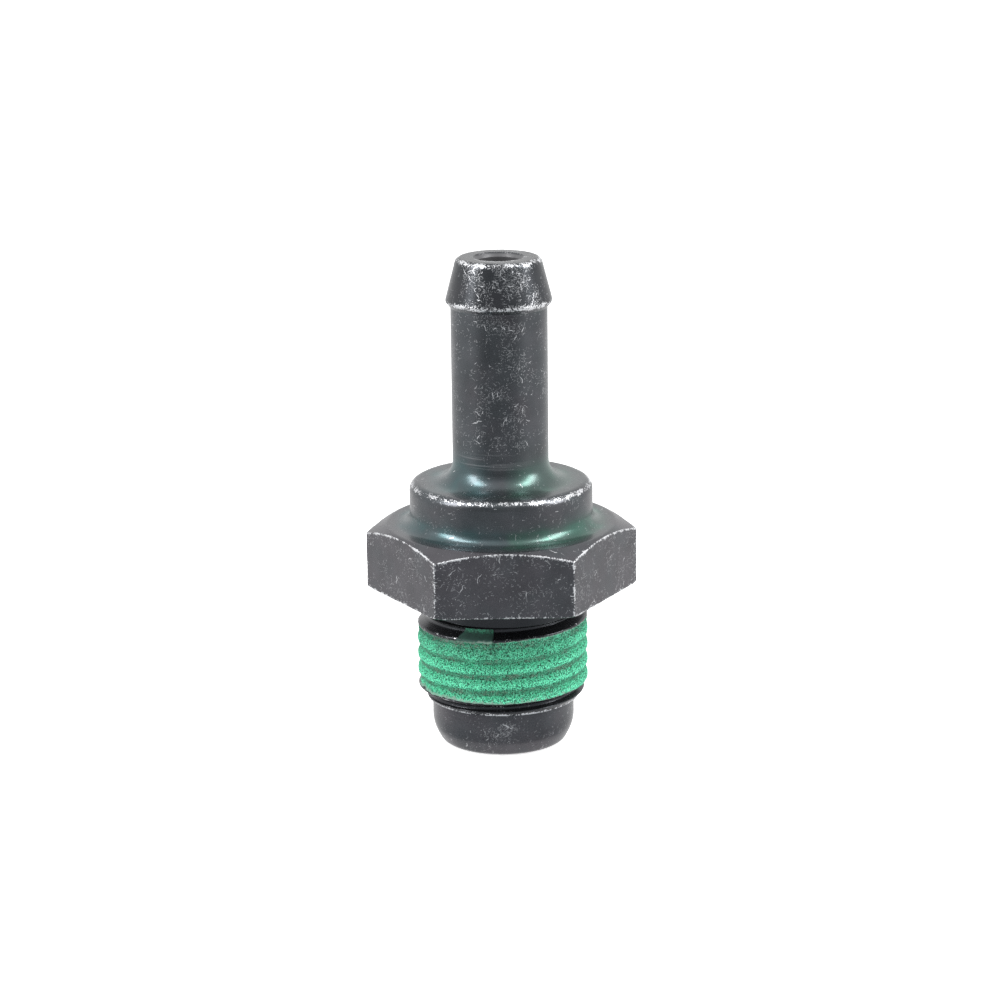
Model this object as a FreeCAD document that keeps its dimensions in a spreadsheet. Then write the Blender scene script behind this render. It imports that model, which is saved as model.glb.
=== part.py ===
"""Screw-in crankcase ventilation valve, in millimetres, +Z up, with the origin at the centre of its lower face.

A one-piece turned steel body carries the hose nipple, the collar, the hexagon, the thread and the rolled skirt.
Inside it a metering plunger slides along Z: a spring under the chamber's roof holds it on the seat washer.
"""
import FreeCAD, Part
import math
import os

import Sketcher

SHEET = "dims"

# Driving dimensions, in millimetres and degrees.
SIZES = {
    # Rolled skirt at the lower end.
    "skirt_step": 0.49,
    "skirt_wall": 1.48,
    "skirt_roll_radius": 5.9,
    "skirt_roll_angle": 27.5,
    "skirt_edge_rounding": 0.66,
    "lip_face_width": 0.73,
    "lip_thickness": 1.5,
    "lip_edge_rounding": 0.4,
    # Metric fine thread, drawn as a plain cylinder, and the sealant band that lies on it.
    "thread_radius": 8.0,
    "thread_pitch": 1.5,
    "thread_start": 4.35,
    "thread_lead_in": 1.0,
    "thread_lead_in_depth": 0.83,
    "bare_thread_below": 0.3,
    "sealant_length": 6.55,
    "sealant_film": 0.04,
    "bare_thread_above": 0.25,
    "thread_run_out": 0.4,
    "neck_depth": 1.0,
    "neck_length": 2.12,
    "neck_fillet": 0.3,
    # Hexagon for the socket.
    "hexagon_across_flats": 22.0,
    "hexagon_thickness": 6.23,
    "hexagon_chamfer_angle": 25.5,
    "hexagon_top_chamfer_inset": 0.3,
    "hexagon_bottom_chamfer_width": 0.34,
    # Collar above the hexagon.
    "collar_face_width": 1.225,
    "collar_length": 4.05,
    "collar_root_fillet": 1.1,
    "collar_edge_rounding": 0.85,
    # Hose nipple and its barb.
    "nipple_radius": 4.475,
    "nipple_length": 21.04,
    "nipple_root_fillet": 2.0,
    "barb_height": 0.455,
    "barb_length": 4.09,
    "barb_land": 0.15,
    "barb_lip_rounding": 0.6,
    "barb_cone_angle": 14.5,
    "nipple_tip_rounding": 0.6,
    # Passages.
    "bore_radius": 1.98,
    "bore_chamfer": 0.38,
    "chamber_length": 17.8,
    # Seat washer, clamped between the rolled lip and the chamber's shoulder.
    "washer_ledge": 0.4,
    "washer_thickness": 1.2,
    "washer_clearance": 0.05,
    "seat_orifice_radius": 2.2,
    "seat_orifice_chamfer": 0.3,
    # Metering plunger.
    "plunger_lift": 4.5,
    "guide_clearance": 0.08,
    "flange_thickness": 1.6,
    "flange_chamfer": 0.25,
    "flange_flat_depth": 0.92,
    "pilot_radius": 2.75,
    "pilot_length": 1.3,
    "pilot_shoulder_length": 0.8,
    "stem_clearance": 0.23,
    "metering_overlap": 0.8,
    "nose_radius": 0.95,
    "nose_entry": 1.0,
    "nose_rounding": 0.5,
    # Compression spring.
    "wire_radius": 0.275,
    "spring_pilot_gap": 0.25,
    "spring_active_turns": 6,
    "closed_turn_gap": 0.08,
    "spring_ground_depth": 0.12,
}

# Sizes and heights that follow from the driving dimensions.
WORKED_OUT = {
    "thread_start_radius": "thread_radius - thread_lead_in_depth",
    "skirt_radius": "thread_start_radius - skirt_step",
    "chamber_radius": "skirt_radius - skirt_wall",
    "roll_edge_height": "skirt_edge_rounding * (1 - sin(skirt_roll_angle))",
    "roll_top": "roll_edge_height + skirt_roll_radius * sin(skirt_roll_angle)",
    "roll_edge_radius": "skirt_radius - skirt_roll_radius * (1 - cos(skirt_roll_angle))",
    "bottom_flat_radius": "roll_edge_radius - skirt_edge_rounding * cos(skirt_roll_angle)",
    "lip_edge_radius": "bottom_flat_radius - lip_face_width",
    "lip_opening_radius": "lip_edge_radius - lip_edge_rounding",
    "thread_full_start": "thread_start + thread_lead_in",
    "sealant_start": "thread_full_start + bare_thread_below",
    "sealant_end": "sealant_start + sealant_length",
    "sealant_radius": "thread_radius + sealant_film",
    "thread_pitch_radius": "thread_radius - 3 * sqrt(3) / 16 * thread_pitch",
    "thread_full_end": "sealant_end + bare_thread_above",
    "thread_end": "thread_full_end + thread_run_out",
    "neck_radius": "thread_radius - neck_depth",
    "hexagon_bottom": "thread_end + neck_length",
    "neck_top": "hexagon_bottom - neck_fillet",
    "neck_fillet_radius": "neck_radius + neck_fillet",
    "hexagon_top": "hexagon_bottom + hexagon_thickness",
    "hexagon_flat": "hexagon_across_flats / 2",
    "hexagon_corner_radius": "hexagon_flat / cos(30)",
    "hexagon_top_chamfer_radius": "hexagon_flat - hexagon_top_chamfer_inset",
    "hexagon_bottom_chamfer_radius": "hexagon_corner_radius - hexagon_bottom_chamfer_width",
    "chamfer_reach_radius": "hexagon_corner_radius + 1",
    "chamfer_top_drop": "(chamfer_reach_radius - hexagon_top_chamfer_radius) * tan(hexagon_chamfer_angle)",
    "chamfer_top_foot": "hexagon_top - chamfer_top_drop",
    "chamfer_top_clear": "hexagon_top + 1",
    "chamfer_bottom_rise": "(chamfer_reach_radius - hexagon_bottom_chamfer_radius) * tan(hexagon_chamfer_angle)",
    "chamfer_bottom_head": "hexagon_bottom + chamfer_bottom_rise",
    "chamfer_bottom_clear": "hexagon_bottom - 1",
    "nipple_foot_radius": "nipple_radius + nipple_root_fillet",
    "collar_face_radius": "nipple_foot_radius + collar_face_width",
    "collar_radius": "collar_face_radius + collar_edge_rounding",
    "collar_foot_radius": "collar_radius + collar_root_fillet",
    "collar_foot": "hexagon_top + collar_root_fillet",
    "collar_top": "hexagon_top + collar_length",
    "collar_edge": "collar_top - collar_edge_rounding",
    "nipple_foot": "collar_top + nipple_root_fillet",
    "nipple_top": "collar_top + nipple_length",
    "barb_shoulder": "nipple_top - barb_length",
    "barb_radius": "nipple_radius + barb_height",
    "barb_underside": "barb_shoulder - sqrt(barb_lip_rounding ^ 2 - (barb_lip_rounding - barb_height) ^ 2)",
    "barb_cone_start": "barb_shoulder + barb_land",
    "tip_centre": "nipple_top - nipple_tip_rounding",
    "tip_cone_radius": "barb_radius - (tip_centre - barb_cone_start) * tan(barb_cone_angle)",
    "tip_face_radius": "tip_cone_radius - nipple_tip_rounding / cos(barb_cone_angle)",
    "tip_edge_radius": "tip_face_radius + nipple_tip_rounding * cos(barb_cone_angle)",
    "tip_edge": "tip_centre + nipple_tip_rounding * sin(barb_cone_angle)",
    "bore_mouth_radius": "bore_radius + bore_chamfer",
    "bore_mouth": "nipple_top - bore_chamfer",
    "seat_height": "lip_thickness + washer_thickness",
    "washer_pocket_radius": "chamber_radius + washer_ledge",
    "washer_radius": "washer_pocket_radius - washer_clearance",
    "chamber_roof": "seat_height + chamber_length",
    "bore_foot": "chamber_roof + bore_chamfer",
    "seat_mouth_radius": "seat_orifice_radius + seat_orifice_chamfer",
    "seat_mouth": "lip_thickness + seat_orifice_chamfer",
    "flange_radius": "chamber_radius - guide_clearance",
    "flange_face_radius": "flange_radius - flange_chamfer",
    "flange_bottom_edge": "seat_height + flange_chamfer",
    "flange_top": "seat_height + flange_thickness",
    "flange_top_edge": "flange_top - flange_chamfer",
    "flange_flat_distance": "flange_radius - flange_flat_depth",
    "flat_cut_reach": "flange_radius + 1",
    "pilot_top": "flange_top + pilot_length",
    "stem_foot": "pilot_top + pilot_shoulder_length",
    "stem_radius": "bore_radius - stem_clearance",
    "stem_top": "chamber_roof + metering_overlap - plunger_lift",
    "nose_tip": "chamber_roof + nose_entry",
    "nose_edge": "nose_tip - nose_rounding",
    "nose_tip_radius": "nose_radius - nose_rounding",
    "spring_radius": "pilot_radius + spring_pilot_gap + wire_radius",
    "spring_first_turn": "flange_top + wire_radius - spring_ground_depth",
    "spring_whole_turns": "round(spring_active_turns)",
    "closed_turn_pitch": "2 * wire_radius + closed_turn_gap",
    "spring_active_start": "spring_first_turn + closed_turn_pitch",
    "spring_last_turn": "chamber_roof - wire_radius + spring_ground_depth",
    "spring_active_end": "spring_last_turn - closed_turn_pitch",
    "spring_active_length": "spring_active_end - spring_active_start",
    "spring_cut_radius": "spring_radius + 2 * wire_radius",
    "spring_cut_low": "flange_top - 2 * wire_radius",
    "spring_cut_high": "chamber_roof + 2 * wire_radius",
}


def make_sheet(doc):
    """Put the driving dimensions and what follows from them in one sheet, one alias for each."""
    sheet = doc.addObject("Spreadsheet::Sheet", SHEET)
    cells = {name: str(value) for name, value in SIZES.items()}
    cells.update({name: "=" + formula for name, formula in WORKED_OUT.items()})
    for row, (name, text) in enumerate(cells.items(), start=1):
        sheet.set(f"A{row}", name)
        sheet.set(f"B{row}", text)
        sheet.setAlias(f"B{row}", name)
    doc.recompute()
    return sheet


def size(doc, name):
    """The present value of one size."""
    return float(getattr(doc.getObject(SHEET), name))


def bind(feature, prop, name):
    """Tie one property of a feature to a size in the sheet."""
    feature.setExpression(prop, f"{SHEET}.{name}")


def origin_feature(body, role):
    """One of the body's own origin planes or axes."""
    return next(item for item in body.Origin.OriginFeatures if item.Role == role)


def new_body(doc, name):
    """An empty body whose label is the name of its piece."""
    body = doc.addObject("PartDesign::Body", name)
    body.Label = name
    body.Placement = FreeCAD.Placement()
    return body


def new_sketch(body, name, role):
    """An empty sketch on one of the body's origin planes."""
    sketch = body.newObject("Sketcher::SketchObject", name)
    sketch.AttachmentSupport = (origin_feature(body, role), [""])
    sketch.MapMode = "FlatFace"
    return sketch


def pin_coordinate(sketch, kind, geometry, point, name, value):
    """Hold one coordinate of a sketch point at a size, or at zero where no size is named."""
    if name is None:
        axis = -2 if kind == "DistanceX" else -1
        sketch.addConstraint(Sketcher.Constraint("PointOnObject", geometry, point, axis))
        return
    index = sketch.addConstraint(Sketcher.Constraint(kind, -1, 1, geometry, point, value))
    bind(sketch, f"Constraints[{index}]", name)


def arc_between(start, end, radius, turn):
    """The shorter arc from start to end: turn is 1 for an anticlockwise arc, and -1 for a clockwise one."""
    chord = end - start
    across = FreeCAD.Vector(-chord.y, chord.x, 0).normalize()
    rise = math.sqrt(max(radius ** 2 - (chord.Length / 2) ** 2, 0))
    centre = (start + end) / 2 + across * (rise * turn)
    first, last = (start, end) if turn > 0 else (end, start)
    first_angle = math.atan2(first.y - centre.y, first.x - centre.x)
    last_angle = math.atan2(last.y - centre.y, last.x - centre.x)
    if last_angle < first_angle:
        last_angle += 2 * math.pi
    circle = Part.Circle(centre, FreeCAD.Vector(0, 0, 1), radius)
    return Part.ArcOfCircle(circle, first_angle, last_angle)


def draw_outline(doc, body, name, outline):
    """A closed outline in the XZ plane, each point given by the names of its radius and its height.

    A point is reached from the one before by a straight line, or by an arc where a rounding and a turn follow.
    """
    sketch = new_sketch(body, name, "XZ_Plane")
    points = []
    for radius_name, height_name, *_ in outline:
        radius = size(doc, radius_name) if radius_name else 0
        height = size(doc, height_name) if height_name else 0
        points.append(FreeCAD.Vector(radius, height, 0))
    ends = []
    for index, (_, _, *arc) in enumerate(outline):
        start, end = points[index - 1], points[index]
        if arc:
            rounding, turn = arc
            geometry = sketch.addGeometry(arc_between(start, end, size(doc, rounding), turn), False)
            limit = sketch.addConstraint(Sketcher.Constraint("Radius", geometry, size(doc, rounding)))
            bind(sketch, f"Constraints[{limit}]", rounding)
            ends.append((geometry, 1, 2) if turn > 0 else (geometry, 2, 1))
        else:
            ends.append((sketch.addGeometry(Part.LineSegment(start, end), False), 1, 2))
    for index, (geometry, _, last) in enumerate(ends):
        following = ends[(index + 1) % len(ends)]
        sketch.addConstraint(Sketcher.Constraint("Coincident", geometry, last, following[0], following[1]))
        radius_name, height_name = outline[index][:2]
        pin_coordinate(sketch, "DistanceX", geometry, last, radius_name, points[index].x)
        pin_coordinate(sketch, "DistanceY", geometry, last, height_name, points[index].y)
    doc.recompute()
    return sketch


def turn_outline(doc, body, name, outline, kind="PartDesign::Revolution"):
    """Turn an outline once round the Z axis, as new material or, with a Groove, as a cut."""
    sketch = draw_outline(doc, body, name + "_outline", outline)
    feature = body.newObject(kind, name)
    feature.Profile = (sketch, [""])
    feature.ReferenceAxis = (sketch, ["V_Axis"])
    feature.Angle = 360
    doc.recompute()
    return feature


def cut_outline(doc, body, name, outline):
    """Turn an outline round the Z axis as a cut, and check that it takes material away."""
    before = body.Shape.Volume
    feature = turn_outline(doc, body, name, outline, "PartDesign::Groove")
    if body.Shape.Volume >= before:
        raise RuntimeError(f"{name} cuts nothing")
    return feature


def draw_hexagon(doc, body, name):
    """A regular hexagon round the axis, with two of its sides along X, at the hexagon's underside."""
    sketch = new_sketch(body, name, "XY_Plane")
    bind(sketch, "AttachmentOffset.Base.z", "hexagon_bottom")
    corner_radius = size(doc, "hexagon_corner_radius")
    corners = []
    for number in range(6):
        angle = math.radians(60 * number)
        corners.append(FreeCAD.Vector(math.cos(angle), math.sin(angle), 0) * corner_radius)
    sides = []
    for number in range(6):
        side = Part.LineSegment(corners[number], corners[(number + 1) % 6])
        sides.append(sketch.addGeometry(side, False))
    circle = Part.Circle(FreeCAD.Vector(), FreeCAD.Vector(0, 0, 1), corner_radius)
    ring = sketch.addGeometry(circle, True)
    sketch.addConstraint(Sketcher.Constraint("Coincident", ring, 3, -1, 1))
    for number, side in enumerate(sides):
        sketch.addConstraint(Sketcher.Constraint("Coincident", side, 2, sides[(number + 1) % 6], 1))
        sketch.addConstraint(Sketcher.Constraint("PointOnObject", side, 1, ring))
        if number:
            sketch.addConstraint(Sketcher.Constraint("Equal", sides[0], side))
    sketch.addConstraint(Sketcher.Constraint("PointOnObject", sides[0], 1, -1))
    limit = sketch.addConstraint(Sketcher.Constraint("Radius", ring, corner_radius))
    bind(sketch, f"Constraints[{limit}]", "hexagon_corner_radius")
    doc.recompute()
    return sketch


def make_valve_body(doc):
    """The turned steel body: skirt, thread, neck, hexagon, collar and nipple, with the passages through it."""
    body = new_body(doc, "valve_body")
    turn_outline(doc, body, "turned_bar", [
        (None, None),
        ("bottom_flat_radius", None),
        ("roll_edge_radius", "roll_edge_height", "skirt_edge_rounding", 1),
        ("skirt_radius", "roll_top", "skirt_roll_radius", 1),
        ("skirt_radius", "thread_start"),
        ("thread_start_radius", "thread_start"),
        ("thread_radius", "thread_full_start"),
        ("thread_radius", "sealant_start"),
        ("thread_pitch_radius", "sealant_start"),
        ("thread_pitch_radius", "sealant_end"),
        ("thread_radius", "sealant_end"),
        ("thread_radius", "thread_full_end"),
        ("neck_radius", "thread_end"),
        ("neck_radius", "neck_top"),
        ("neck_fillet_radius", "hexagon_bottom", "neck_fillet", -1),
        ("neck_fillet_radius", "hexagon_top"),
        ("collar_foot_radius", "hexagon_top"),
        ("collar_radius", "collar_foot", "collar_root_fillet", -1),
        ("collar_radius", "collar_edge"),
        ("collar_face_radius", "collar_top", "collar_edge_rounding", 1),
        ("nipple_foot_radius", "collar_top"),
        ("nipple_radius", "nipple_foot", "nipple_root_fillet", -1),
        ("nipple_radius", "barb_underside"),
        ("barb_radius", "barb_shoulder", "barb_lip_rounding", 1),
        ("barb_radius", "barb_cone_start"),
        ("tip_edge_radius", "tip_edge"),
        ("tip_face_radius", "nipple_top", "nipple_tip_rounding", 1),
        (None, "nipple_top"),
    ])
    hexagon = body.newObject("PartDesign::Pad", "hexagon")
    hexagon.Profile = (draw_hexagon(doc, body, "hexagon_outline"), [""])
    bind(hexagon, "Length", "hexagon_thickness")
    doc.recompute()
    cut_outline(doc, body, "hexagon_top_chamfer", [
        ("hexagon_top_chamfer_radius", "hexagon_top"),
        ("chamfer_reach_radius", "chamfer_top_foot"),
        ("chamfer_reach_radius", "chamfer_top_clear"),
        ("hexagon_top_chamfer_radius", "chamfer_top_clear"),
    ])
    cut_outline(doc, body, "hexagon_bottom_chamfer", [
        ("hexagon_bottom_chamfer_radius", "hexagon_bottom"),
        ("hexagon_bottom_chamfer_radius", "chamfer_bottom_clear"),
        ("chamfer_reach_radius", "chamfer_bottom_clear"),
        ("chamfer_reach_radius", "chamfer_bottom_head"),
    ])
    cut_outline(doc, body, "passages", [
        (None, None),
        ("lip_edge_radius", None),
        ("lip_opening_radius", "lip_edge_rounding", "lip_edge_rounding", -1),
        ("lip_opening_radius", "lip_thickness"),
        ("washer_pocket_radius", "lip_thickness"),
        ("washer_pocket_radius", "seat_height"),
        ("chamber_radius", "seat_height"),
        ("chamber_radius", "chamber_roof"),
        ("bore_mouth_radius", "chamber_roof"),
        ("bore_radius", "bore_foot"),
        ("bore_radius", "bore_mouth"),
        ("bore_mouth_radius", "nipple_top"),
        (None, "nipple_top"),
    ])
    return body


def make_thread_sealant(doc):
    """The band of dried sealant that fills the thread from its pitch line to just over its crests."""
    body = new_body(doc, "thread_sealant")
    turn_outline(doc, body, "sealant_band", [
        ("thread_pitch_radius", "sealant_start"),
        ("sealant_radius", "sealant_start"),
        ("sealant_radius", "sealant_end"),
        ("thread_pitch_radius", "sealant_end"),
    ])
    return body


def make_seat_washer(doc):
    """The steel washer whose upper face is the plunger's seat and whose hole lets the gas in."""
    body = new_body(doc, "seat_washer")
    turn_outline(doc, body, "washer_ring", [
        ("seat_mouth_radius", "lip_thickness"),
        ("washer_radius", "lip_thickness"),
        ("washer_radius", "seat_height"),
        ("seat_orifice_radius", "seat_height"),
        ("seat_orifice_radius", "seat_mouth"),
    ])
    return body


def draw_flat_cut(doc, body, name):
    """The strip of the plunger's flange that one milled flat takes away."""
    sketch = new_sketch(body, name, "XY_Plane")
    reach = size(doc, "flat_cut_reach")
    near = size(doc, "flange_flat_distance")
    corners = [(-reach, near), (reach, near), (reach, reach), (-reach, reach)]
    points = [FreeCAD.Vector(across, out, 0) for across, out in corners]
    for number in range(4):
        sketch.addGeometry(Part.LineSegment(points[number], points[(number + 1) % 4]), False)
    for number in range(4):
        sketch.addConstraint(Sketcher.Constraint("Coincident", number, 2, (number + 1) % 4, 1))
    sketch.addConstraint(Sketcher.Constraint("Vertical", 1))
    sketch.addConstraint(Sketcher.Constraint("Horizontal", 2))
    sketch.addConstraint(Sketcher.Constraint("Vertical", 3))
    pin_coordinate(sketch, "DistanceX", 1, 1, "flat_cut_reach", reach)
    pin_coordinate(sketch, "DistanceY", 1, 1, "flange_flat_distance", near)
    pin_coordinate(sketch, "DistanceY", 1, 2, "flat_cut_reach", reach)
    sketch.addConstraint(Sketcher.Constraint("Symmetric", 0, 1, 0, 2, -2))
    doc.recompute()
    return sketch


def make_plunger(doc):
    """The metering plunger: a guided flange with four flats for the gas, a spring pilot and a tapered stem."""
    body = new_body(doc, "plunger")
    turn_outline(doc, body, "turned_plunger", [
        (None, "seat_height"),
        ("flange_face_radius", "seat_height"),
        ("flange_radius", "flange_bottom_edge"),
        ("flange_radius", "flange_top_edge"),
        ("flange_face_radius", "flange_top"),
        ("pilot_radius", "flange_top"),
        ("pilot_radius", "pilot_top"),
        ("stem_radius", "stem_foot"),
        ("stem_radius", "stem_top"),
        ("nose_radius", "nose_edge"),
        ("nose_tip_radius", "nose_tip", "nose_rounding", 1),
        (None, "nose_tip"),
    ])
    flat = body.newObject("PartDesign::Pocket", "flange_flat")
    flat.Profile = (draw_flat_cut(doc, body, "flange_flat_outline"), [""])
    flat.Type = "ThroughAll"
    flat.Reversed = True
    doc.recompute()
    flats = body.newObject("PartDesign::PolarPattern", "flange_flats")
    flats.Originals = [flat]
    flats.Axis = (origin_feature(body, "Z_Axis"), [""])
    flats.Angle = 360
    flats.Occurrences = 4
    body.Tip = flats
    doc.recompute()
    return body


def coil(doc, body, name, start, length, turns):
    """Wire wound round the axis, from one height, through a whole number of turns."""
    sketch = new_sketch(body, name + "_wire", "XZ_Plane")
    centre = FreeCAD.Vector(size(doc, "spring_radius"), size(doc, start), 0)
    circle = Part.Circle(centre, FreeCAD.Vector(0, 0, 1), size(doc, "wire_radius"))
    wire = sketch.addGeometry(circle, False)
    limit = sketch.addConstraint(Sketcher.Constraint("Radius", wire, size(doc, "wire_radius")))
    bind(sketch, f"Constraints[{limit}]", "wire_radius")
    pin_coordinate(sketch, "DistanceX", wire, 3, "spring_radius", centre.x)
    pin_coordinate(sketch, "DistanceY", wire, 3, start, centre.y)
    doc.recompute()
    helix = body.newObject("PartDesign::AdditiveHelix", name)
    helix.Profile = (sketch, [""])
    helix.ReferenceAxis = (sketch, ["V_Axis"])
    helix.Mode = "height-turns-angle"
    helix.setExpression("Height", length)
    helix.setExpression("Turns", turns)
    doc.recompute()
    return helix


def make_valve_spring(doc):
    """The compression spring, with a closed turn ground flat at each end."""
    body = new_body(doc, "valve_spring")
    closed = f"{SHEET}.closed_turn_pitch"
    coil(doc, body, "lower_closed_turn", "spring_first_turn", closed, "1")
    active = f"{SHEET}.spring_active_length"
    coil(doc, body, "active_turns", "spring_active_start", active, f"{SHEET}.spring_whole_turns")
    coil(doc, body, "upper_closed_turn", "spring_active_end", closed, "1")
    cut_outline(doc, body, "lower_grind", [
        (None, "spring_cut_low"),
        ("spring_cut_radius", "spring_cut_low"),
        ("spring_cut_radius", "flange_top"),
        (None, "flange_top"),
    ])
    cut_outline(doc, body, "upper_grind", [
        (None, "chamber_roof"),
        ("spring_cut_radius", "chamber_roof"),
        ("spring_cut_radius", "spring_cut_high"),
        (None, "spring_cut_high"),
    ])
    return body


def check(doc, pieces):
    """Stop if any object has failed, or a piece has no sound shape."""
    for item in doc.Objects:
        if "Invalid" in item.State or "Error" in item.State:
            raise RuntimeError(f"{item.Name} failed: {item.State}")
    for piece in pieces:
        if piece.Shape.isNull() or not piece.Shape.isValid():
            raise RuntimeError(f"{piece.Label} has no sound shape")


def main():
    """Build every piece, check it and write it to its own file."""
    doc = FreeCAD.newDocument("pcv_valve")
    make_sheet(doc)
    pieces = [
        make_valve_body(doc),
        make_thread_sealant(doc),
        make_seat_washer(doc),
        make_plunger(doc),
        make_valve_spring(doc),
    ]
    doc.recompute()
    check(doc, pieces)
    os.makedirs("parts", exist_ok=True)
    for piece in pieces:
        piece.Shape.exportStep(f"parts/{piece.Label}.step")
        box = piece.Shape.BoundBox
        print(f"{piece.Label}: {piece.Shape.Volume:.2f} mm3, z {box.ZMin:.3f} to {box.ZMax:.3f}")


main()
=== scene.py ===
"""Looks of the screw-in crankcase ventilation valve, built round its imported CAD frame.

Blender works in metres. The sizes held below are millimetres in the same frame, +Z up, with the
origin under the middle of the valve and the hexagon's front flat towards -Y.
"""

import logging
import math
from collections.abc import Callable, Mapping, Sequence
from dataclasses import dataclass
from enum import Enum

import bpy
import numpy as np
from mathutils import Matrix, Vector


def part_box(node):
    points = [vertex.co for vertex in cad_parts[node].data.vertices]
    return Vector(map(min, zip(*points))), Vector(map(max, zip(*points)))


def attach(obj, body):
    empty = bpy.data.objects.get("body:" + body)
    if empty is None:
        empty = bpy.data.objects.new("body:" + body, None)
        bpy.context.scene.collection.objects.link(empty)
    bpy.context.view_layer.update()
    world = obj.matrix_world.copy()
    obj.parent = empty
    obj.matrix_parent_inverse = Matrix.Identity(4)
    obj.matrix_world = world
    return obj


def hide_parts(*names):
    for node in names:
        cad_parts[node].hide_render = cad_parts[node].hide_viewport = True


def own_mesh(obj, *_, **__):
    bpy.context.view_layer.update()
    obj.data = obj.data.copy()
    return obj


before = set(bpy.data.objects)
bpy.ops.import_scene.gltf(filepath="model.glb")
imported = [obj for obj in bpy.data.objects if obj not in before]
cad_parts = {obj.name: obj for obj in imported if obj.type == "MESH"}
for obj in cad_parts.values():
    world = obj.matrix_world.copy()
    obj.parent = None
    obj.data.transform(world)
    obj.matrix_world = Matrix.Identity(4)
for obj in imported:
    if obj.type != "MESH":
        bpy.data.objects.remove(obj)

MM = 0.001
TURN = 2 * math.pi
SURFACE = "surface_mm"
SEAM = math.radians(90)
FRONT = math.radians(270)

Value = float | np.ndarray
Colour = tuple[float, float, float]

log = logging.getLogger("valve")


class Form(Enum):
    """How a stretch of a turned outline is finished."""

    TURNED = "turned"
    THREADED = "threaded"
    HEXAGON = "hexagon"


class Mark(Enum):
    """The marks that a mesh carries for its material, each from 0 to 1."""

    WEAR = "wear"
    HOLLOW = "hollow"
    SCUFF = "scuff"
    SHADE = "shade"
    BARE = "bare"
    STREAK_AND_SHADE = "streak_and_shade"
    RIM = "rim"
    THIN = "thin"


def smooth_step(low: float, high: float, value: Value) -> Value:
    """Rise smoothly from 0 to 1 as the value goes from low to high."""
    share = np.clip((value - low) / (high - low), 0, 1)
    return share * share * (3 - 2 * share)


def swept(radius: Value, angles: np.ndarray, height: np.ndarray) -> np.ndarray:
    """Place radii and heights at angles round the axis, as coordinates."""
    return np.stack([radius * np.cos(angles), radius * np.sin(angles), height], axis=-1)


def even_angles(columns: int) -> np.ndarray:
    """Space columns evenly round the axis, from the seam on."""
    return SEAM + np.arange(columns) / columns * TURN


def off_nearest(angles: np.ndarray, directions: int) -> np.ndarray:
    """Measure the turn from the nearest of some evenly spaced directions, the first towards +X."""
    part = TURN / directions
    return (angles + part / 2) % part - part / 2


def box_mm(node: str) -> tuple[np.ndarray, np.ndarray]:
    """Read the lowest and highest corners of a CAD node, in millimetres."""
    low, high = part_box(node)
    return np.array(low) / MM, np.array(high) / MM


@dataclass(frozen=True)
class Ripple:
    """Seeded value noise that closes on itself round the axis, with cells of one height."""

    seed: int
    cells_round: int
    cell_height: float
    rows: int = 512
    first_row: int = 64

    def at(self, angle: np.ndarray, height: np.ndarray) -> np.ndarray:
        """Sample the noise.

        Args:
            angle: Angles round the axis, in radians.
            height: Heights, in millimetres.

        Returns:
            Values from -1 to 1.
        """
        across = (angle / TURN % 1) * self.cells_round
        up = height / self.cell_height + self.first_row
        table = np.random.default_rng(self.seed).uniform(-1, 1, (self.rows, self.cells_round))
        column = np.floor(across).astype(int)
        row = np.floor(up).astype(int)
        share_across = smooth_step(0, 1, across - column)
        share_up = smooth_step(0, 1, up - row)
        corners = [
            table[(row + step_up) % self.rows, (column + step_across) % self.cells_round]
            for step_up in (0, 1)
            for step_across in (0, 1)
        ]
        lower = corners[0] * (1 - share_across) + corners[1] * share_across
        upper = corners[2] * (1 - share_across) + corners[3] * share_across
        return lower * (1 - share_up) + upper * share_up


@dataclass(frozen=True)
class Corner:
    """One corner of a turned outline, with what the stretch up to it is like.

    A radius or height may be one number or one for each column round the axis.
    """

    radius: Value
    height: Value
    rounding: float = 0.05
    wear: float = 0.0
    scuff: float = 0.0
    spacing: float = 0.6
    form: Form = Form.TURNED
    fade: float = 0.22


@dataclass
class Rings:
    """Rows of points that an outline sweeps round the axis, with a mark for each row."""

    radius: np.ndarray
    height: np.ndarray
    along: np.ndarray
    wear: np.ndarray
    hollow: np.ndarray
    scuff: np.ndarray
    forms: list[Form]

    def points(self, angles: np.ndarray) -> np.ndarray:
        """Place the rows at the columns' angles, as an array of rows, columns and coordinates."""
        return swept(self.radius, angles, self.height)

    def mask(self, form: Form) -> np.ndarray:
        """Tell which rows have one form, as a column of truth values."""
        return np.array([found is form for found in self.forms])[:, None]


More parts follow.
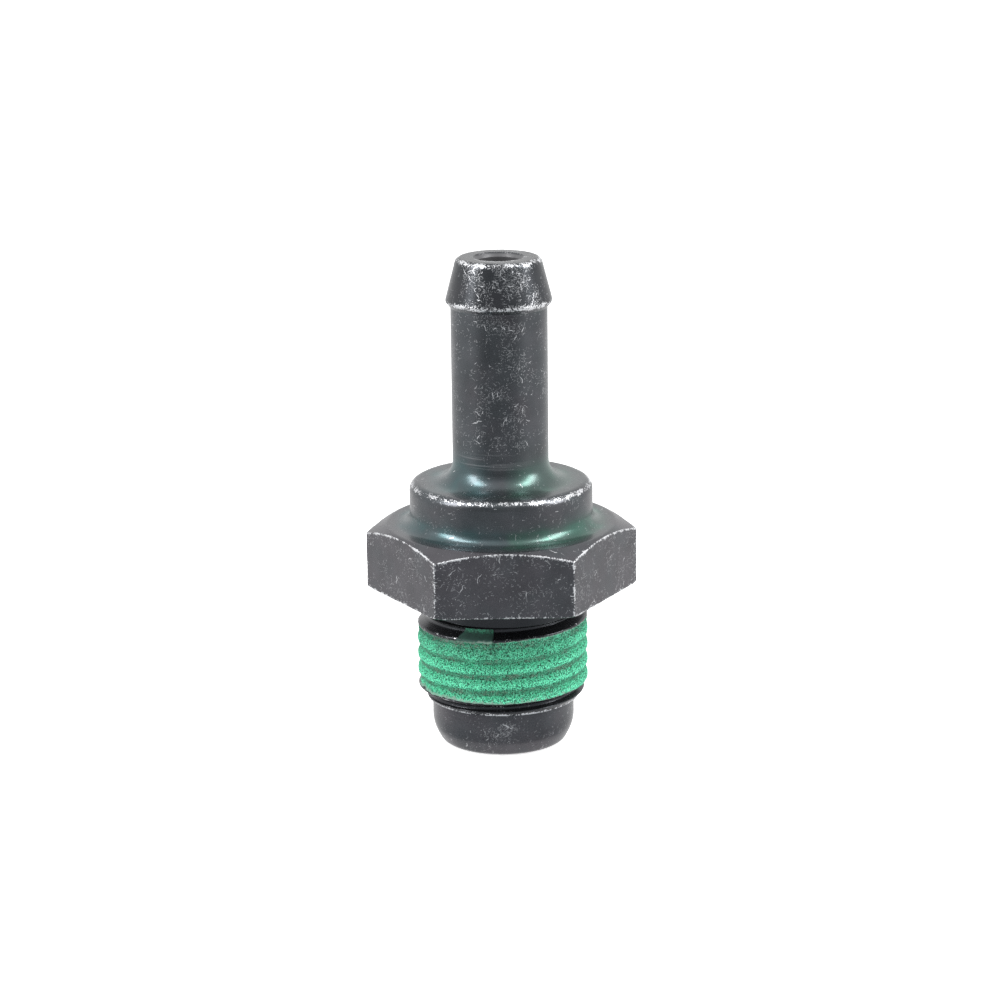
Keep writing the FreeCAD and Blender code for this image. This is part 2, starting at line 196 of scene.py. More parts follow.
@dataclass(frozen=True)
class TurnedOutline:
    """A closed or open outline of rounded corners that is swept round the axis."""

    corners: Sequence[Corner]
    closed: bool = True
    arc_step: float = math.radians(18)
    arc_chord: float = 0.35
    support: float = 0.14

    def rings(self, columns: int) -> Rings:
        """Turn the outline into rows of points.

        Args:
            columns: How many columns stand round the axis.

        Returns:
            The rows, in order along the outline.
        """
        places = [
            np.stack([np.broadcast_to(c.radius, columns), np.broadcast_to(c.height, columns)], -1)
            for c in self.corners
        ]
        places = [np.array(place, float) for place in places]
        rows: list[np.ndarray] = []
        owners: list[tuple[int, bool]] = []
        arcs = [self._arc(places, index) for index in range(len(places))]
        for index, arc in enumerate(arcs):
            if index or self.closed:
                start = arcs[index - 1][-1]
                for share in self._shares(start, arc[0], self.corners[index].spacing):
                    rows.append(start + (arc[0] - start) * share)
                    owners.append((index, False))
            for point in arc:
                rows.append(point)
                owners.append((index, True))
        return self._marked(np.array(rows), owners, places)

    def _arc(self, places: list[np.ndarray], index: int) -> list[np.ndarray]:
        """Round one corner.

        Args:
            places: Where the corners are, for each column.
            index: Which corner is rounded.

        Returns:
            The points of its arc, in order, or the corner itself at an open end.
        """
        last = len(places) - 1
        if not self.closed and index in (0, last):
            return [places[index]]
        here = places[index]
        before = here - places[index - 1]
        after = places[(index + 1) % len(places)] - here
        length_before = np.linalg.norm(before, axis=-1, keepdims=True)
        length_after = np.linalg.norm(after, axis=-1, keepdims=True)
        before = before / length_before
        after = after / length_after
        cross = before[:, 0] * after[:, 1] - before[:, 1] * after[:, 0]
        turn = np.arctan2(cross, (before * after).sum(-1))[:, None]
        half = np.tan(np.abs(turn) / 2)
        longest = 0.48 * np.minimum(length_before, length_after)
        reach = np.minimum(self.corners[index].rounding * half, longest)
        radius = reach / np.maximum(half, 1e-6)
        side = np.stack([-before[:, 1], before[:, 0]], -1) * np.sign(turn)
        sweep = float(np.abs(turn).max())
        by_chord = math.ceil(sweep * float(radius.max()) / self.arc_chord)
        steps = max(2, math.ceil(sweep / self.arc_step), by_chord)
        start = here - before * reach
        points = []
        for step in range(steps + 1):
            angle = np.abs(turn) * step / steps
            points.append(start + radius * (np.sin(angle) * before + (1 - np.cos(angle)) * side))
        return points

    def _shares(self, start: np.ndarray, end: np.ndarray, spacing: float) -> list[float]:
        """Divide the straight stretch between two arcs.

        Args:
            start: Where it starts, for each column.
            end: Where it ends, for each column.
            spacing: The widest step along it.

        Returns:
            The shares of its length at which rows stand, without its ends.
        """
        length = float(np.linalg.norm(end - start, axis=-1).max())
        if length < 4 * self.support:
            return [0.5] if length > self.support else []
        edge = self.support / length
        inner = max(1, math.ceil((length - 2 * self.support) / spacing))
        return [edge + (1 - 2 * edge) * step / inner for step in range(inner + 1)]

    def _marked(
        self, rows: np.ndarray, owners: list[tuple[int, bool]], places: list[np.ndarray]
    ) -> Rings:
        """Give each row its marks.

        Args:
            rows: The points of the rows.
            owners: For each row, its corner and whether it lies on the corner's arc.
            places: Where the corners are, for each column.

        Returns:
            The finished rows.
        """
        steps = np.linalg.norm(np.diff(rows, axis=0), axis=-1).mean(-1)
        along = np.concatenate([[0], np.cumsum(steps)])
        wear = np.zeros(len(rows))
        hollow = np.zeros(len(rows))
        for index, corner in enumerate(self.corners):
            on_arc = [along[row] for row, owner in enumerate(owners) if owner == (index, True)]
            away = np.maximum(np.maximum(on_arc[0] - along, along - on_arc[-1]), 0)
            middle, half = (on_arc[0] + on_arc[-1]) / 2, min((on_arc[-1] - on_arc[0]) / 2, 0.15)
            beyond = np.maximum(np.abs(along - middle) - half, 0)
            wear = np.maximum(wear, corner.wear * np.exp(-beyond / corner.fade))
            before = places[index] - places[index - 1]
            after = places[(index + 1) % len(places)] - places[index]
            if (before[:, 0] * after[:, 1] - before[:, 1] * after[:, 0]).mean() < 0:
                size = min(1, corner.rounding)
                hollow = np.maximum(hollow, size * np.exp(-away / max(0.35 * corner.rounding, 0.05)))
        scuff = np.array([self.corners[index].scuff for index, _ in owners])
        forms = [self.corners[index].form for index, _ in owners]
        return Rings(rows[..., 0], rows[..., 1], along, wear, hollow, scuff, forms)


@dataclass
class Skin:
    """A grid of points that closes round its columns, made into one watertight mesh object."""

    name: str
    points: np.ndarray
    closed: bool = True
    along: np.ndarray | None = None
    round_radius: np.ndarray | None = None

    def build(self, marks: Mapping[Mark, np.ndarray]) -> bpy.types.Object:
        """Make the mesh object.

        Args:
            marks: For each mark, its value at every point of the grid.

        Returns:
            The object, linked to the scene, in metres.
        """
        rows, columns, _ = self.points.shape
        vertices = self.points.reshape(-1, 3)
        bands = rows if self.closed else rows - 1
        row, column = np.meshgrid(np.arange(bands), np.arange(columns), indexing="ij")
        above, beside = (row + 1) % rows, (column + 1) % columns
        lower, upper = row * columns, above * columns
        quads = np.stack([lower + column, lower + beside, upper + beside, upper + column], axis=-1)
        faces = quads.reshape(-1, 4).tolist()
        if not self.closed:
            vertices = np.vstack([vertices, self.points[0].mean(0), self.points[-1].mean(0)])
            first, last = rows * columns, rows * columns + 1
            top = (rows - 1) * columns
            for index in range(columns):
                following = (index + 1) % columns
                faces.append([first, following, index])
                faces.append([last, top + index, top + following])
        mesh = bpy.data.meshes.new(self.name)
        mesh.from_pydata((vertices * MM).tolist(), [], faces)
        mesh.shade_smooth()
        for mark, values in marks.items():
            flat = np.zeros(len(vertices), np.float32)
            flat[: rows * columns] = np.broadcast_to(values, (rows, columns)).ravel()
            mesh.attributes.new(mark.value, "FLOAT", "POINT").data.foreach_set("value", flat)
        self._unroll(mesh, row, column)
        made = bpy.data.objects.new(self.name, mesh)
        bpy.context.scene.collection.objects.link(made)
        return made

    def _unroll(self, mesh: bpy.types.Mesh, row: np.ndarray, column: np.ndarray) -> None:
        """Store the surface in millimetres, round the axis and along the outline, at the face corners.

        Args:
            mesh: The mesh.
            row: The row of each face.
            column: The column of each face.
        """
        if self.along is None or self.round_radius is None:
            return
        layer = mesh.uv_layers.new(name=SURFACE)
        angle = np.arctan2(self.points[..., 1], self.points[..., 0]).mean(0)
        angle = np.concatenate([np.unwrap(angle), [np.unwrap(angle)[0] + TURN]]) - angle[0]
        along = np.concatenate([self.along, [self.along[-1] + 0.1]])
        radius = self.round_radius[row]
        left, right = angle[column] * radius, angle[column + 1] * radius
        low, high = along[row], along[row + 1]
        around = ((left, low), (right, low), (right, high), (left, high))
        corners = np.stack([np.stack(pair, -1) for pair in around], axis=-2).reshape(-1, 2)
        flat = np.zeros((len(mesh.loops), 2), np.float32)
        flat[: len(corners)] = corners
        layer.data.foreach_set("uv", flat.ravel())


class Wire:
    """One output of a node, which takes part in sums."""

    def __init__(self, graph: "Graph", socket: bpy.types.NodeSocket) -> None:
        """Hold the graph and the socket."""
        self.graph = graph
        self.socket = socket

    def __getitem__(self, output: str | int) -> "Wire":
        """Give another output of the same node."""
        return Wire(self.graph, self.socket.node.outputs[output])

    def __add__(self, other: "Input") -> "Wire":
        """Add a wire or a number."""
        return self.graph.math("ADD", self, other)

    def __sub__(self, other: "Input") -> "Wire":
        """Take a wire or a number away."""
        return self.graph.math("SUBTRACT", self, other)

    def __rsub__(self, other: float) -> "Wire":
        """Take this away from a number."""
        return self.graph.math("SUBTRACT", other, self)

    def __mul__(self, other: "Input") -> "Wire":
        """Multiply by a wire or a number."""
        return self.graph.math("MULTIPLY", self, other)

    def __abs__(self) -> "Wire":
        """Drop the sign."""
        return self.graph.math("ABSOLUTE", self)


Input = Wire | float | tuple[float, ...]
Wires = Mapping[str, Wire]


@dataclass(frozen=True)
class Noise:
    """How a noise is made: cells in one millimetre, how many finer layers, and which noise it is."""

    scale: float
    detail: float
    seed: float


class Graph:
    """Adds nodes to one node tree and joins them."""

    def __init__(self, tree: bpy.types.NodeTree) -> None:
        """Start with an empty tree."""
        self.tree = tree
        tree.nodes.clear()

    def add(self, kind: str, inputs: Mapping[str | int, Input], **settings: object) -> bpy.types.Node:
        """Add one node.

        Args:
            kind: The node's type name, without the leading ShaderNode for shader nodes.
            inputs: What feeds each input.
            **settings: The node's own properties.

        Returns:
            The new node.
        """
        made = self.tree.nodes.new(kind if kind.startswith("Node") else "ShaderNode" + kind)
        for name, value in settings.items():
            setattr(made, name, value)
        for name, value in inputs.items():
            socket = made.inputs[name]
            if isinstance(value, Wire):
                self.tree.links.new(value.socket, socket)
            else:
                socket.default_value = (*value, 1.0) if socket.type == "RGBA" else value
        return made

    def node(self, kind: str, inputs: Mapping[str | int, Input] | None = None, **settings: object) -> Wire:
        """Add one node and give its first output."""
        return Wire(self, self.add(kind, inputs or {}, **settings).outputs[0])

    def math(self, operation: str, first: Input, second: Input = 0.0, clamp: bool = False) -> Wire:
        """Work out one number from two."""
        return self.node("Math", {0: first, 1: second}, operation=operation, use_clamp=clamp)

    def most(self, first: Input, second: Input) -> Wire:
        """Give the larger of two numbers."""
        return self.math("MAXIMUM", first, second)

    def rise(self, value: Input, low: Input, high: Input) -> Wire:
        """Rise smoothly from 0 to 1 as the value goes from low to high."""
        inputs = {"Value": value, "From Min": low, "From Max": high}
        return self.node("MapRange", inputs, interpolation_type="SMOOTHSTEP")

    def scale(self, value: Input, low: float, high: float) -> Wire:
        """Stretch a value of 0 to 1 so that it goes from low to high."""
        return self.node("MapRange", {"Value": value, "To Min": low, "To Max": high})

    def vector(self, operation: str, first: Input, second: Input) -> Wire:
        """Work out one vector or colour from two."""
        return self.node("VectorMath", {0: first, 1: second}, operation=operation)

    def stretch(self, vector: Input, by: Input) -> Wire:
        """Multiply a vector or colour by a number."""
        return self.node("VectorMath", {0: vector, "Scale": by}, operation="SCALE")

    def blend(self, share: Input, first: Input, second: Input) -> Wire:
        """Mix two colours by the share of the second."""
        return self.node("Mix", {0: share, 6: first, 7: second}, data_type="RGBA", clamp_factor=True)[2]

    def noise(self, place: Input, noise: Noise) -> Wire:
        """Sample a noise, whose values lie round a half."""
        inputs = {"Vector": place, "W": noise.seed, "Scale": noise.scale, "Detail": noise.detail}
        return self.node("TexNoise", inputs, noise_dimensions="4D")

    def place_mm(self) -> Wire:
        """Give the place on the object, in millimetres."""
        return self.stretch(self.node("TexCoord")["Object"], 1 / MM)

    def surface_mm(self) -> Wire:
        """Give the unrolled surface, in millimetres round the axis and along the outline."""
        return self.node("UVMap", uv_map=SURFACE)

    def mark(self, mark: Mark) -> Wire:
        """Read one of the mesh's marks."""
        return self.node("Attribute", attribute_name=mark.value)["Fac"]

    def bump(self, height: Input, strength: float, depth_mm: float) -> Wire:
        """Bend the normals by a height."""
        return self.node("Bump", {"Height": height, "Strength": strength, "Distance": depth_mm * MM})

    def mix(self, share: Input, first: Input, second: Input) -> Wire:
        """Mix two shaders by the share of the second."""
        return self.node("MixShader", {0: share, 1: first, 2: second})

    def finish(self, inputs: Mapping[str | int, Input]) -> None:
        """End a material with the Principled shader."""
        self.add("OutputMaterial", {"Surface": self.node("BsdfPrincipled", inputs)})


@dataclass(frozen=True)
class Effect:
    """A shader node group that several finishes use, each with its own values."""

    name: str
    inputs: Mapping[str, str]
    output: str
    wire: Callable[[Graph, Wires], Wire]

    def tree(self) -> bpy.types.NodeTree:
        """Build the group the first time, and find it afterwards.

        Returns:
            The group.
        """
        found = bpy.data.node_groups.get(self.name)
        if found:
            return found
        made = bpy.data.node_groups.new(self.name, "ShaderNodeTree")
        for name, kind in self.inputs.items():
            made.interface.new_socket(name=name, in_out="INPUT", socket_type="NodeSocket" + kind)
        made.interface.new_socket(name=self.output, in_out="OUTPUT", socket_type="NodeSocketFloat")
        graph = Graph(made)
        given = graph.node("NodeGroupInput")
        result = self.wire(graph, {name: given[name] for name in self.inputs})
        graph.add("NodeGroupOutput", {self.output: result})
        return made

    def place(self, graph: Graph, **values: Input) -> Wire:
        """Put the group into a material.

        Args:
            graph: The material's graph.
            **values: What feeds each input, by its name in lower case.

        Returns:
            The group's output.
        """
        inputs = {name: values[name.lower()] for name in self.inputs}
        return graph.node("Group", inputs, node_tree=self.tree())


CHIPS = Noise(6.5, 2.0, 1.7)
CHIPPED_PATCHES = Noise(1.1, 1.0, 4.1)


def wire_rubbed_edges(graph: Graph, given: Wires) -> Wire:
    """Wire the mask of plating rubbed through along edges, broken up as real chips are.

    Args:
        graph: The group's graph.
        given: Wear, Place and Amount.

    Returns:
        The mask.
    """
    fine = graph.noise(given["Place"], CHIPS) - 0.5
    broad = graph.noise(given["Place"], CHIPPED_PATCHES) - 0.5
    level = given["Wear"] * given["Amount"] + fine * 2.4 + broad * 1.4
    return graph.rise(level, 0.62, 0.95) * graph.rise(given["Wear"], 0.03, 0.2)


def wire_scratches(graph: Graph, given: Wires) -> Wire:
    """Wire short bent scratches, one to a cell, each turned its own way.

    Args:
        graph: The group's graph.
        given: Surface, Scale, Density, Length and Width.

    Returns:
        The mask.
    """
    wobble = graph.node("TexNoise", {"Vector": given["Surface"], "Scale": 1.3}, noise_dimensions="2D")
    bent = graph.vector("ADD", given["Surface"], graph.stretch(wobble["Color"], 0.5))
    cells = graph.stretch(bent, given["Scale"])
    drops = graph.node("TexVoronoi", {"Vector": cells, "Scale": 1.0}, voronoi_dimensions="2D")
    away = graph.vector("SUBTRACT", cells, drops["Position"])
    chance = graph.node("SeparateColor", {0: drops["Color"]})
    turned = {"Vector": away, "Angle": chance * TURN}
    parts = graph.node("SeparateXYZ", {0: graph.node("VectorRotate", turned, rotation_type="Z_AXIS")})
    wide = 1.0 - graph.rise(abs(parts[1]), given["Width"] * 0.4, given["Width"])
    reach = given["Length"] * graph.scale(chance[2], 0.25, 1.0)
    long = 1.0 - graph.rise(abs(parts[0]), reach * 0.5, reach)
    return wide * long * graph.math("LESS_THAN", chance[1], given["Density"])


def wire_specks(graph: Graph, given: Wires) -> Wire:
    """Wire small separate specks of uneven size.

    Args:
        graph: The group's graph.
        given: Place, Scale and Amount.

    Returns:
        The mask.
    """
    drops = graph.node("TexVoronoi", {"Vector": given["Place"], "Scale": given["Scale"]})
    chance = graph.node("SeparateColor", {0: drops["Color"]})
    size = graph.rise(chance, 1.0 - given["Amount"], 1.0) * 0.42
    return graph.rise(size - drops, 0.0, 0.08)


def wire_turning_marks(graph: Graph, given: Wires) -> Wire:
    """Wire the fine rings that a lathe tool leaves.

    Args:
        graph: The group's graph.
        given: Surface and Scale.

    Returns:
        The height.
    """
    drawn_out = graph.vector("MULTIPLY", given["Surface"], (0.03, 1.0, 1.0))
    inputs = {"Vector": drawn_out, "Scale": given["Scale"], "Detail": 3.0, "Roughness": 0.6}
    return graph.node("TexNoise", inputs, noise_dimensions="2D")


RUBBED_EDGES = Effect(
    "rubbed_edges", {"Wear": "Float", "Place": "Vector", "Amount": "Float"}, "Mask", wire_rubbed_edges
)
SCRATCHES = Effect(
    "scratches",
    {"Surface": "Vector", "Scale": "Float", "Density": "Float", "Length": "Float", "Width": "Float"},
    "Mask",
    wire_scratches,
)
SPECKS = Effect("specks", {"Place": "Vector", "Scale": "Float", "Amount": "Float"}, "Mask", wire_specks)
TURNING_MARKS = Effect(
    "turning_marks", {"Surface": "Vector", "Scale": "Float"}, "Height", wire_turning_marks
)


def new_material(name: str) -> tuple[bpy.types.Material, Graph]:
    """Start a node material.

    Args:
        name: The material's name.

    Returns:
        The material and the graph of its empty tree.
    """
    material = bpy.data.materials.new(name)
    material.use_nodes = True
    return material, Graph(material.node_tree)


@dataclass(frozen=True)
class ScratchKind:
    """One kind of scratch: cells in a millimetre, how common, long and wide it is, and how bright."""

    scale: float
    share: float
    length: float
    width: float
    strength: float


@dataclass(frozen=True)
class PlatedSteel:
    """Dark plated steel, scuffed all over and rubbed bright along its edges."""

    name: str = "dark_plated_steel"
    warm: Colour = (0.094, 0.091, 0.101)
    cool: Colour = (0.080, 0.087, 0.095)
    # Painted shade colour, blended in by the shade mark.
    painted_shade_black: Colour = (0.030, 0.033, 0.037)
    teal: Colour = (0.05, 0.175, 0.18)
    green: Colour = (0.06, 0.25, 0.17)
    bright: Colour = (0.72, 0.73, 0.75)
    bore: Colour = (0.12, 0.12, 0.125)
    cool_above: float = 20.8
    metallic: float = 0.8
    roughness: float = 0.27
    grain: Noise = Noise(6.0, 3.0, 5.0)
    hues: Noise = Noise(0.3, 2.0, 12.0)
    clouds: Noise = Noise(0.5, 4.0, 2.0)
    scuffed_patches: Noise = Noise(0.55, 2.0, 9.0)
    scratches: tuple[ScratchKind, ...] = (
        ScratchKind(0.5, 0.3, 0.45, 0.02, 0.8),
        ScratchKind(4.4, 1.0, 0.8, 0.12, 0.3),
        ScratchKind(2.6, 0.9, 0.8, 0.075, 0.4),
        ScratchKind(1.3, 0.5, 0.7, 0.042, 0.9),
    )

    def material(self) -> bpy.types.Material:
        """Build the finish.

        Returns:
            The material.
        """
        material, graph = new_material(self.name)
        place, surface = graph.place_mm(), graph.surface_mm()
        bare = graph.mark(Mark.BARE)
        marks = self._rubbed(graph, place, surface)
        colour = graph.blend(marks, self._coat(graph, place), self.bright)
        colour = graph.blend(bare * 0.9, colour, self.bore)
        grain = graph.noise(place, self.grain)
        rough = graph.scale(grain, self.roughness - 0.08, self.roughness + 0.08)
        rough = rough + graph.most(marks, bare) * 0.12
        rings = TURNING_MARKS.place(graph, surface=surface, scale=7.0)
        bump = graph.bump(rings * 0.35 + grain * 0.3 - marks * 0.5, 0.25, 0.04)
        metal = self.metallic - bare * 0.5
        graph.finish({"Base Color": colour, "Metallic": metal, "Roughness": rough, "Normal": bump})
        return material

    def _coat(self, graph: Graph, place: Wire) -> Wire:
        """Colour the plating: warmer on the hexagon and below, cooler above, iridescent in hollows, and
        darker where the shade mark paints shade.

        Args:
            graph: The material's graph.
            place: The place on the object.

        Returns:
            The colour.
        """
        parts = graph.node("SeparateXYZ", {0: place})
        hue = graph.noise(place, self.hues) - 0.5
        above = graph.rise(parts[2], self.cool_above, self.cool_above + 1.2)
        cool = graph.math("ADD", graph.scale(above, 0.15, 0.75), hue * 3.0, clamp=True)
        cloud = graph.scale(graph.noise(place, self.clouds), 0.62, 1.38)
        coat = graph.stretch(graph.blend(cool, self.warm, self.cool), cloud)
        tint = graph.blend(graph.rise(parts[0] + hue * 12.0, -0.8, 0.8), self.teal, self.green)
        beside = graph.rise(abs(parts[0]) - parts[1] * 0.5, 1.8, 5.5)
        share = beside * graph.scale(graph.rise(hue, -0.1, 0.12), 0.2, 0.4)
        coat = graph.blend(graph.mark(Mark.HOLLOW) * share, coat, tint)
        # Painted shade: the shade mark darkens the coat on the thread, in the neck under the hexagon and on
        # the barb.
        return graph.blend(graph.mark(Mark.SHADE), coat, self.painted_shade_black)

    def _rubbed(self, graph: Graph, place: Wire, surface: Wire) -> Wire:
        """Gather everything that shows bright steel through the plating.

        Args:
            graph: The material's graph.
            place: The place on the object.
            surface: The unrolled surface.

        Returns:
            The mask of bright steel.
        """
        edges = RUBBED_EDGES.place(graph, wear=graph.mark(Mark.WEAR), place=place, amount=0.9)
        patches = graph.rise(graph.noise(place, self.scuffed_patches), 0.35, 0.68)
        density = graph.mark(Mark.SCUFF) * patches
        lines = SPECKS.place(graph, place=place, scale=9.0, amount=density * 0.7) * 0.5
        for kind in self.scratches:
            sizes = {"scale": kind.scale, "length": kind.length, "width": kind.width}
            drawn = SCRATCHES.place(graph, surface=surface, density=density * kind.share, **sizes)
            lines = graph.most(lines, drawn * kind.strength)
        rings = graph.rise(TURNING_MARKS.place(graph, surface=surface, scale=2.6), 0.5, 0.62)
        lines = graph.most(lines, rings * graph.mark(Mark.STREAK_AND_SHADE) * 0.22)
        return graph.math("MAXIMUM", edges, lines, clamp=True)


@dataclass(frozen=True)
class DriedSealant:
    """Dried green thread sealant: matte, granular and dirty along its furrows, with painted shade in the
    furrows and a painted highlight on the ridge crests.
    """

    name: str = "green_thread_sealant"
    green: Colour = (0.055, 0.55, 0.285)
    pale: Colour = (0.13, 0.66, 0.40)
    # Painted highlight colour for the ridge crests.
    crest: Colour = (0.15, 0.86, 0.51)
    furrow_shade: Colour = (0.07, 0.32, 0.195)
    dark: Colour = (0.003, 0.042, 0.025)
    dirt: Colour = (0.17, 0.21, 0.16)
    grit: Colour = (0.36, 0.85, 0.63)
    rim: Colour = (0.27, 0.37, 0.32)
    film: Colour = (0.05, 0.11, 0.09)
    crest_from: float = 7.9
    crest_to: float = 8.03
    clouds: Noise = Noise(3.5, 3.0, 3.0)
    tears: Noise = Noise(3.5, 4.0, 6.0)
    soiling: Noise = Noise(0.45, 1.0, 14.0)
    grains: Noise = Noise(9.5, 2.0, 8.0)

    def material(self) -> bpy.types.Material:
        """Build the finish.

        Returns:
            The material.
        """
        material, graph = new_material(self.name)
        place = graph.place_mm()
        streak_and_shade = graph.mark(Mark.STREAK_AND_SHADE)
        ragged = graph.noise(place, self.tears) - 0.5
        soiled = graph.noise(place, self.soiling) * 0.9
        grains = graph.noise(place, self.grains)
        pits = SPECKS.place(graph, place=place, scale=4.5, amount=0.5)
        clumps = SPECKS.place(graph, place=place, scale=2.4, amount=graph.scale(soiled, 0.0, 0.7))
        level = streak_and_shade + soiled
        torn = graph.rise(level + ragged * 3.4, 1.3, 1.75) * graph.rise(streak_and_shade, 0.45, 0.8)
        colour = graph.blend(graph.rise(graph.noise(place, self.clouds), 0.35, 0.68), self.green, self.pale)
        layers = (
            # Painted highlight on the ridge crests.
            (self._crest_highlights(graph, place, streak_and_shade), self.crest),
            # Painted shade along the furrows.
            (graph.rise(level + ragged * 1.4, 0.5, 1.4) * 0.85, self.furrow_shade),
            (torn * 0.6, self.dirt),
            (graph.rise(grains, 0.57, 0.69) * 0.45, self.grit),
            ((1.0 - graph.rise(grains, 0.42, 0.53)) * 0.9, self.dark),
            (pits * 0.75, self.dark),
            (clumps * graph.rise(ragged, -0.06, 0.08) * 0.8, self.dark),
            (graph.math("ADD", graph.mark(Mark.THIN), ragged * 0.6, clamp=True), self.film),
            (graph.rise(graph.mark(Mark.RIM) + ragged * 2.0, 0.35, 0.75) * 0.75, self.rim),
        )
        for share, shown in layers:
            colour = graph.blend(share, colour, shown)
        bump = graph.bump(grains - pits * 0.5, 0.8, 0.12)
        rough = graph.scale(grains, 0.65, 0.9)
        graph.finish({"Base Color": colour, "Roughness": rough, "Normal": bump, "Specular IOR Level": 0.3})
        return material

    def _crest_highlights(self, graph: Graph, place: Wire, streak_and_shade: Wire) -> Wire:
        """Find the crests of the ridges, which get a painted highlight, held back where the furrow mark is
        high.

        Args:
            graph: The material's graph.
            place: The place on the object.
            streak_and_shade: How far down in a furrow the surface lies.

        Returns:
            The mask.
        """
        parts = graph.node("SeparateXYZ", {0: place})
        radius = graph.math("SQRT", parts * parts + parts[1] * parts[1])
        highlight_share = 0.8 - graph.rise(streak_and_shade, 0.15, 0.45) * 0.7
        return graph.rise(radius, self.crest_from, self.crest_to) * highlight_share


@dataclass(frozen=True)
class BrightSteel:
    """Bare or zinc plated steel with lathe rings, dulled in patches."""

    name: str
    colour: Colour
    dull: Colour
    roughness: float
    ring_scale: float
    scratched: Colour = (0.8, 0.8, 0.78)
    patches: Noise = Noise(0.7, 3.0, 1.0)

    def material(self) -> bpy.types.Material:
        """Build the finish.

        Returns:
            The material.
        """
        material, graph = new_material(self.name)
        place, surface = graph.place_mm(), graph.surface_mm()
        shiny = graph.rise(graph.noise(place, self.patches), 0.35, 0.65)
        edges = RUBBED_EDGES.place(graph, wear=graph.mark(Mark.WEAR), place=place, amount=0.8)
        lines = SCRATCHES.place(graph, surface=surface, scale=2.0, density=0.35, length=0.5, width=0.05)
        marks = graph.most(edges, lines * 0.5)
        colour = graph.blend(marks * 0.6, graph.blend(shiny, self.dull, self.colour), self.scratched)
        rings = TURNING_MARKS.place(graph, surface=surface, scale=self.ring_scale)
        rough = graph.scale(rings, self.roughness - 0.08, self.roughness + 0.12)
        bump = graph.bump(rings, 0.35, 0.03)
        graph.finish({"Base Color": colour, "Metallic": 1.0, "Roughness": rough, "Normal": bump})
        return material


WASHER_STEEL = BrightSteel("washer_steel", (0.52, 0.51, 0.47), (0.36, 0.35, 0.33), 0.32, 5.0)
PLUNGER_STEEL = BrightSteel("plunger_steel", (0.58, 0.55, 0.46), (0.42, 0.40, 0.36), 0.28, 6.0)
SPRING_WIRE = BrightSteel("spring_wire", (0.46, 0.46, 0.48), (0.34, 0.34, 0.36), 0.3, 3.0)


def dress(
    piece: bpy.types.Object, finish: bpy.types.Material, body: str, node: str
) -> bpy.types.Object:
    """Give a piece its finish and its place in the frame.

    Args:
        piece: The mesh object.
        finish: Its material.
        body: The body that it rides on.
        node: The CAD node that it stands for.

    Returns:
        The same object.
    """
    piece.data.materials.append(finish)
    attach(piece, body)
    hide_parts(node)
    return piece


@dataclass
class Thread:
    """The metric fine thread, right-handed, that body and sealant share."""

    radius: float = 8.0
    pitch: float = 1.5
    start: float = 4.35
    start_radius: float = 7.17
    lead_in: float = 1.0
    full_end: float = 12.45
    end: float = 12.85
    end_radius: float = 7.0
    first_crest: float = 4.76
    root_depth: float = 0.90
    root_rounding: float = 0.12

    def surface(self, angle: np.ndarray, height: np.ndarray) -> np.ndarray:
        """Find the thread's surface: narrow flat crests, straight flanks and rounded roots.

        Args:
            angle: Angles round the axis from +X, in radians.
            height: Heights, in millimetres.

        Returns:
            The radius there, in millimetres.
        """
        turns = (height - self.first_crest) / self.pitch - angle / TURN
        from_crest = np.abs(turns - np.round(turns)) * self.pitch
        depth = np.maximum(from_crest - self.pitch / 16, 0) * math.sqrt(3)
        soft = self.root_rounding
        over = depth - self.root_depth
        root = self.root_depth - soft + soft * np.tanh((over + soft) / soft)
        limited = np.where(over > -soft, root, depth)
        full_start = self.start + self.lead_in
        heights = [self.start, full_start, self.full_end, self.end]
        bar = np.interp(height, heights, [self.start_radius, self.radius, self.radius, self.end_radius])
        return np.minimum(self.radius - limited, bar)


